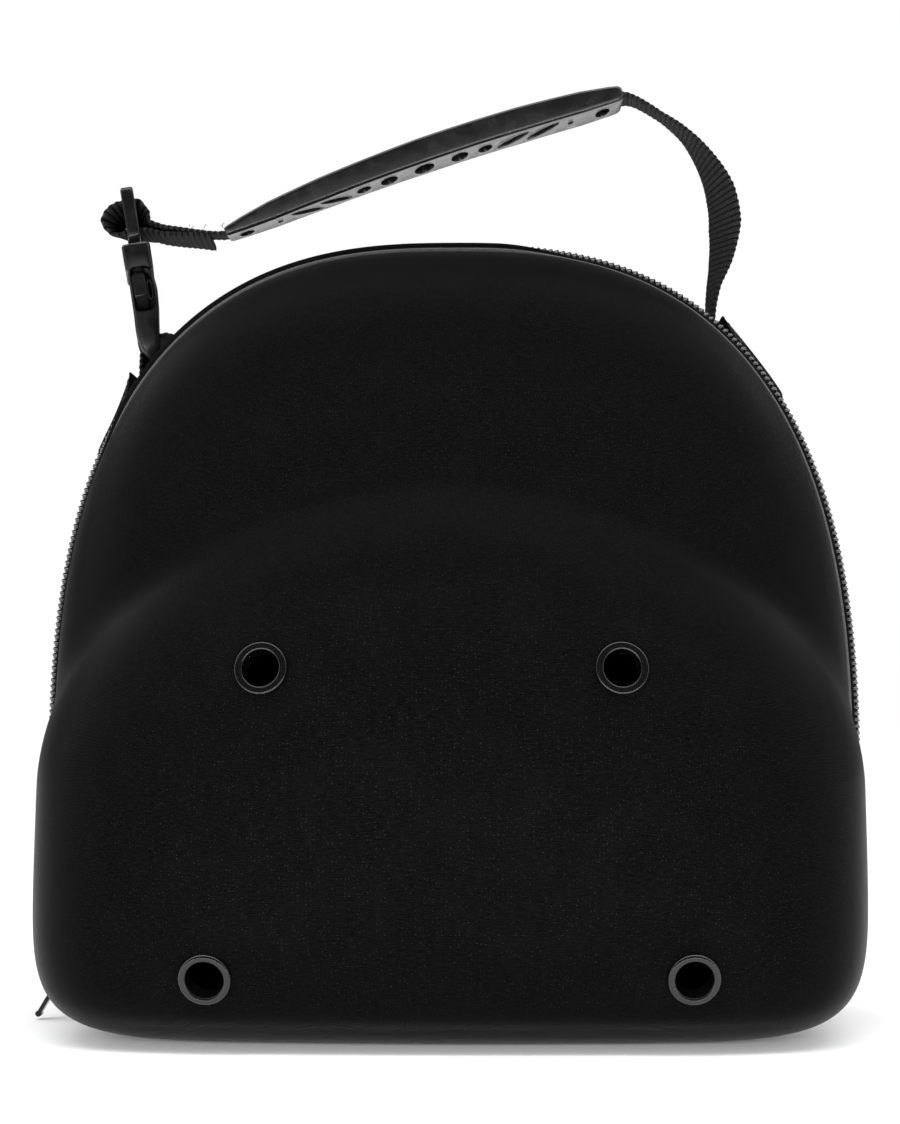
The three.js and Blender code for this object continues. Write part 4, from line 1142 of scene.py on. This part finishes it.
def make_webbing(name, rows, node, hidden=None):
    """Webbing ribbon with a woven surface; hidden is the pair of rows between which nothing shows."""
    rows = np.array(rows, float)
    numbers = np.arange(len(rows))
    at = np.linspace(0, 1, CURVE_SAMPLES * len(rows))
    line = smooth_rows(rows[:, :2], at)
    track = Track(np.stack([line[:, 0], np.full(len(at), STRAP_Y), line[:, 1]], -1))
    stations = np.arange(0, track.length, RING_STEP)
    if hidden:
        start, end = np.interp(np.array(hidden) / numbers[-1], at, track.marks)
        shown = (stations <= start) | (stations >= end)
        stations = np.sort(np.concatenate([stations[shown], np.arange(start, end, HIDDEN_STEP)]))
    number = np.interp(stations, track.marks, at) * numbers[-1]
    turn = np.radians(np.interp(number, numbers, rows[:, 2]))[:, None]
    along = track.along(stations)
    across = np.cos(turn) * Y_AXIS + np.sin(turn) * np.cross(along, Y_AXIS)
    out = np.cross(along, across)
    share = np.linspace(-1, 1, WEB_ACROSS)
    fade = np.abs(share) ** WEB_EDGE_POWER
    edge = np.sqrt(np.maximum(0, 1 - fade))
    place = share * WEB_WIDTH / 2
    scallop = WEB_SCALLOP * np.cos(2 * math.pi * stations / WEB_PITCH)
    wide = place + fade * np.sign(share) * scallop[:, None]
    middle = track.at(stations)[:, None] + across[:, None] * wide[..., None]
    layers = []
    for sign, flip in ((1, 0), (-1, 1)):
        relief = weave_relief(place, stations[:, None], flip)
        height = sign * edge * ((WEB_THICK - WEB_RELIEF) / 2 + relief)
        layers.append(middle + out[:, None] * height[..., None])
    rings = np.concatenate([layers[0], layers[1][:, -2:0:-1]], axis=1)
    obj = make_object(name, rings, ring_faces(len(stations), rings.shape[1]))
    set_strip_weave(obj, np.concatenate([place, place[-2:0:-1]]), stations)
    settle(obj, WEBBING, "strap_webbing", node, sharp=75)
    return track


def make_fibres(track, rng):
    """Loose fibres that stand out of the folded webbing's faces."""
    t = np.linspace(0, 1, FIBRE_POINTS)[:, None]
    parts = []
    for start, end, face in FIBRE_RUNS:
        for _ in range(FIBRES):
            distance = track.length - rng.uniform(end, start)
            forward = track.along(distance)
            side = face * np.cross(forward, Y_AXIS)
            across = Y_AXIS * rng.uniform(*FIBRE_ACROSS) * WEB_WIDTH / 2
            root = track.at(distance) + across + side * WEB_THICK / 2
            bend = forward * rng.uniform(-FIBRE_BEND, FIBRE_BEND)
            reach = rng.uniform(*FIBRE_LENGTH)
            parts.append(tube(root + reach * (side * t + bend * t ** 2), FIBRE_RADIUS, FIBRE_SIDES))
    fibres = make_object("strap_fibres", *joined(parts))
    set_weave(fibres, case_points(fibres)[:, :2])
    settle(fibres, WEBBING, "strap_webbing")


def make_strap():
    right = tuck_rows(RIGHT_TUCK) + RIGHT_RUN[::-1]
    shares = np.linspace(1, 0, GRIP_RUN_STEPS + 1)
    held = [(x, z, -roll) for (x, _, z), roll in zip(grip_points(shares), grip_roll(shares))]
    hidden = (len(right) + HIDDEN_MARGIN, len(right) + GRIP_RUN_STEPS - HIDDEN_MARGIN)
    track = make_webbing("strap_webbing_weave", right + held + LEFT_RUN, "strap_webbing", hidden)
    anchor = tuck_rows(ANCHOR_TUCK) + ANCHOR_RUN + tuck_rows(ANCHOR_LAP)
    make_webbing("strap_anchor_weave", anchor, "strap_anchor")
    make_fibres(track, np.random.default_rng(SEED))


# Patches
def patch_points(patch, s, t, height):
    """Place on a patch: s runs from its top edge to its foot and t across it."""
    top, foot, flare = patch
    reach = WEB_WIDTH / 2 + PATCH_MARGIN
    depth = lerp(STRAP_Y - reach, STRAP_Y + reach, t) - HALF_GAP
    sides = smoothstep(t, 0, PATCH_RAMP) * smoothstep(1 - t, 0, PATCH_RAMP)
    rise = sides * smoothstep(1 - s, 0, PATCH_FOOT_RAMP)
    opening = np.maximum(0, 1 - s / PATCH_FLARE_END) ** 2
    lift = PATCH_SKIRT + lerp(PATCH_CROWN * rise, flare, opening)
    return back_place(lerp(top, foot, s), depth, lift + height)


def make_patch(node, patch):
    s = np.linspace(0, 1, PATCH_ALONG + 1)[:, None]
    t = np.linspace(0, 1, PATCH_ACROSS + 1)[None, :]
    s, t = np.broadcast_arrays(s, t)
    under, upper = (patch_points(patch, s, t, height) for height in (0, PATCH_THICK))
    index = np.arange(s.size).reshape(s.shape)
    quads = np.stack([index[:-1, :-1], index[:-1, 1:], index[1:, 1:], index[1:, :-1]], -1).reshape(-1, 4)
    border = np.concatenate([index[0, :-1], index[:-1, -1], index[-1, :0:-1], index[:0:-1, 0]])
    after = np.roll(border, -1)
    walls = np.stack([border, after, after + s.size, border + s.size], -1)
    faces = np.concatenate([quads, quads + s.size, walls]).tolist()
    obj = make_object(node + "_cloth", [under, upper], faces)
    soften(obj, PATCH_EDGE, segments=3, angle=55)
    points = case_points(obj)
    set_weave(obj, np.stack([points[:, 1], np.hypot(points[:, 0], points[:, 2])], -1))
    settle(obj, KNIT, "shell_fabric", node, sharp=60)
    make_stitches(node, patch)


def make_stitches(node, patch):
    """Rows of stitches along the two sides and the foot of a patch."""
    arc = np.sin(np.linspace(0, math.pi, STITCH_POINTS))
    height = PATCH_THICK - STITCH_RADIUS * (STITCH_SINK - STITCH_RISE * arc)
    inset = np.full(STITCH_POINTS, STITCH_INSET)
    parts = []
    for start in lerp(STITCH_INSET, 1 - STITCH_INSET, np.arange(STITCH_COUNT) / STITCH_COUNT):
        k = start + np.linspace(0, STITCH_SHARE / STITCH_COUNT, STITCH_POINTS)
        for s, t in ((k, inset), (k, 1 - inset), (1 - inset, k)):
            parts.append(tube(patch_points(patch, s, t, height), STITCH_RADIUS, STITCH_SIDES))
    stitches = make_object(node + "_stitches", *joined(parts))
    set_weave(stitches, case_points(stitches)[:, :2])
    settle(stitches, THREAD, "shell_fabric")


# Buckle
def on_buckle(part):
    """Part moved from the buckle's frame to the case's frame."""
    turn = np.array(Matrix.Rotation(BUCKLE_YAW, 3, "Z") @ Matrix.Rotation(BUCKLE_LEAN, 3, "Y"))
    return placed(part, BUCKLE_FOOT, *turn.T)


def female_ring(row):
    z, left, right, width, corner = row
    loop = rounded_loop(rectangle(left, right, -width / 2, width / 2), corner)
    return np.column_stack([loop, np.full(len(loop), z)])


def make_female():
    body = smooth_rows(FEMALE_SECTIONS, np.linspace(0, 1, FEMALE_STATIONS))
    rings = np.array([female_ring(row) for row in [*body, *COLLAR_SECTIONS]])
    female = make_object("buckle_body", *on_buckle((rings, ring_faces(len(rings), rings.shape[1]))))
    left, right, foot, head = POCKET
    slot_foot, slot_head, slot_width = FEMALE_SLOT
    upright = (np.zeros(3), X_AXIS, Y_AXIS, Z_AXIS)
    sideways = (np.zeros(3), X_AXIS, Z_AXIS, Y_AXIS)
    window = rounded_loop(WINDOW, WINDOW_CORNER)
    slot = rectangle(-BUCKLE_REACH, BUCKLE_REACH, -slot_width / 2, slot_width / 2)
    tools = [pin(rectangle(left, right, low, high), foot, head, *upright) for low, high in POCKET_BAYS]
    tools.append(pin(window, -BUCKLE_REACH, -WINDOW_CORE, *sideways))
    tools.append(pin(window, WINDOW_CORE, BUCKLE_REACH, *sideways))
    tools.append(pin(slot, slot_foot, slot_head, *upright))
    combine(female, "DIFFERENCE", [on_buckle(tool) for tool in tools])
    soften(female, EDGE_ROUND)
    settle(female, BUCKLE, "buckle_plastic", "buckle_female")


def tongue_part(outline, corner, thick, edge, shift=0, holes=()):
    """Flat part of the tongue, shifted through the buckle's thickness."""
    flat = plate(rounded_loop(outline, corner), holes, thick, edge)
    return on_buckle(placed(flat, X_AXIS * shift, Y_AXIS, Z_AXIS, X_AXIS))


def make_male():
    foot, head, half = MALE_FRAME
    slots = [rounded_loop(rectangle(-SLOT_HALF, SLOT_HALF, *ends), SLOT_CORNER) for ends in MALE_SLOTS]
    body = tongue_part(rectangle(-half, half, foot, head), MALE_CORNER, MALE_THICK, MALE_EDGE, holes=slots)
    male = make_object("buckle_tongue", *body)
    guide_half, guide_foot, guide_head = GUIDE
    arms = [(rectangle(-guide_half, guide_half, guide_foot, guide_head), GUIDE_CORNER),
            (PRONG_HALF, PRONG_CORNER), (mirrored(PRONG_HALF), PRONG_CORNER)]
    parts = [tongue_part(*arm, PRONG_THICK, PRONG_EDGE, PRONG_SHIFT) for arm in arms]
    for outline in (mirrored(HEAD_HALF), HEAD_HALF):
        parts.append(tongue_part(outline, HEAD_CORNER, HEAD_THICK, HEAD_EDGE, HEAD_SHIFT))
    middle, height, half_width, half_height = PRESS_RING
    angle = np.linspace(0, 2 * math.pi, PRESS_RING_POINTS)
    for side in (-PRESS_RING_SIDE, PRESS_RING_SIDE):
        path = np.stack([middle + half_width * np.cos(angle), np.full_like(angle, side),
                         height + half_height * np.sin(angle)], -1)
        parts.append(on_buckle(tube(path, PRESS_RING_RADIUS, PRESS_RING_SIDES)))
    combine(male, "UNION", parts)
    settle(male, BUCKLE, "buckle_plastic", "buckle_male")


# Stage
def make_floor():
    mesh = bpy.data.meshes.new("floor")
    mesh.from_pydata([(x, y, 0) for x, y in circle(FLOOR_RADIUS, FLOOR_SIDES)], [], [range(FLOOR_SIDES)])
    floor = linked("floor", mesh)
    floor.location.z = -FLOOR_DROP
    material, tree, shader = new_material("pale_floor")
    mottle = noise(tree, add(tree, "ShaderNodeTexCoord").outputs["Object"], scale=3.0, detail=2.0)
    colour = mix_colour(tree, mottle, *FLOOR_TONES)
    fill(tree, shader, {"Base Color": colour, "Roughness": 0.9, "Specular IOR Level": 0.1})
    mesh.materials.append(material)


def make_world():
    """White surround, darker in front. In reflections it is dark in front and behind, and bright overhead
    and high up at both sides."""
    world = bpy.data.worlds.new("studio")
    bpy.context.scene.world = world
    world.use_nodes = True
    tree = world.node_tree
    direction = add(tree, "ShaderNodeTexCoord").outputs["Generated"]
    x, y, z = add(tree, "ShaderNodeSeparateXYZ", {0: direction}).outputs
    rays = add(tree, "ShaderNodeLightPath").outputs
    spread = ramp(tree, y, *SPREAD)
    overhead = times(tree, ramp(tree, y, *MIRRORED_BACK), ramp(tree, z, *OVERHEAD))
    lamps = times(tree, ramp(tree, math_node(tree, "ABSOLUTE", x), *SIDEWAYS), ramp(tree, z, *ALOFT))
    behind = math_node(tree, "MAXIMUM", overhead, lamps)
    reflected = times(tree, ramp(tree, y, *MIRRORED_FRONT), behind)
    change = times(tree, math_node(tree, "SUBTRACT", reflected, spread), rays["Is Glossy Ray"])
    surround = tree.nodes["Background"]
    fill(tree, surround, {"Color": WHITE, "Strength": math_node(tree, "ADD", spread, change)})
    seen = add(tree, "ShaderNodeBackground", {"Color": WHITE, "Strength": 1.0})
    shaders = {0: rays["Is Camera Ray"], 1: surround.outputs[0], 2: seen.outputs[0]}
    choice = add(tree, "ShaderNodeMixShader", shaders)
    fill(tree, tree.nodes["World Output"], {"Surface": choice.outputs[0]})


def make_light(name, place, target, size, watts):
    light = bpy.data.lights.new(name, "AREA")
    light.shape = "RECTANGLE"
    light.size, light.size_y = size
    light.energy = watts
    obj = linked(name, light)
    obj.location = place
    obj.rotation_euler = (Vector(target) - Vector(place)).to_track_quat("-Z", "Y").to_euler()
    obj.visible_glossy = False
    obj.visible_camera = False


def make_camera():
    camera = bpy.data.cameras.new("camera")
    camera.sensor_fit = "VERTICAL"
    camera.sensor_height = SENSOR
    camera.lens = FOCAL_PIXELS / IMAGE_HEIGHT * SENSOR
    obj = linked("camera", camera)
    place = np.array([CAMERA_DISTANCE * math.sin(CAMERA_YAW) + CAMERA_OFFSET,
                      -CAMERA_DISTANCE * math.cos(CAMERA_YAW), CAMERA_HEIGHT])
    obj.location = place * MM + SHIFT
    obj.rotation_euler = (math.pi / 2 + CAMERA_PITCH, 0, CAMERA_YAW)
    bpy.context.scene.camera = obj


make_camera()
make_shells()
make_zipper()
make_grip()
make_strap()
for node, patch in PATCHES.items():
    make_patch(node, patch)
make_female()
make_male()
make_floor()
make_world()
for light_row in LIGHTS:
    make_light(*light_row)
bpy.context.scene.view_settings.view_transform = "Standard"
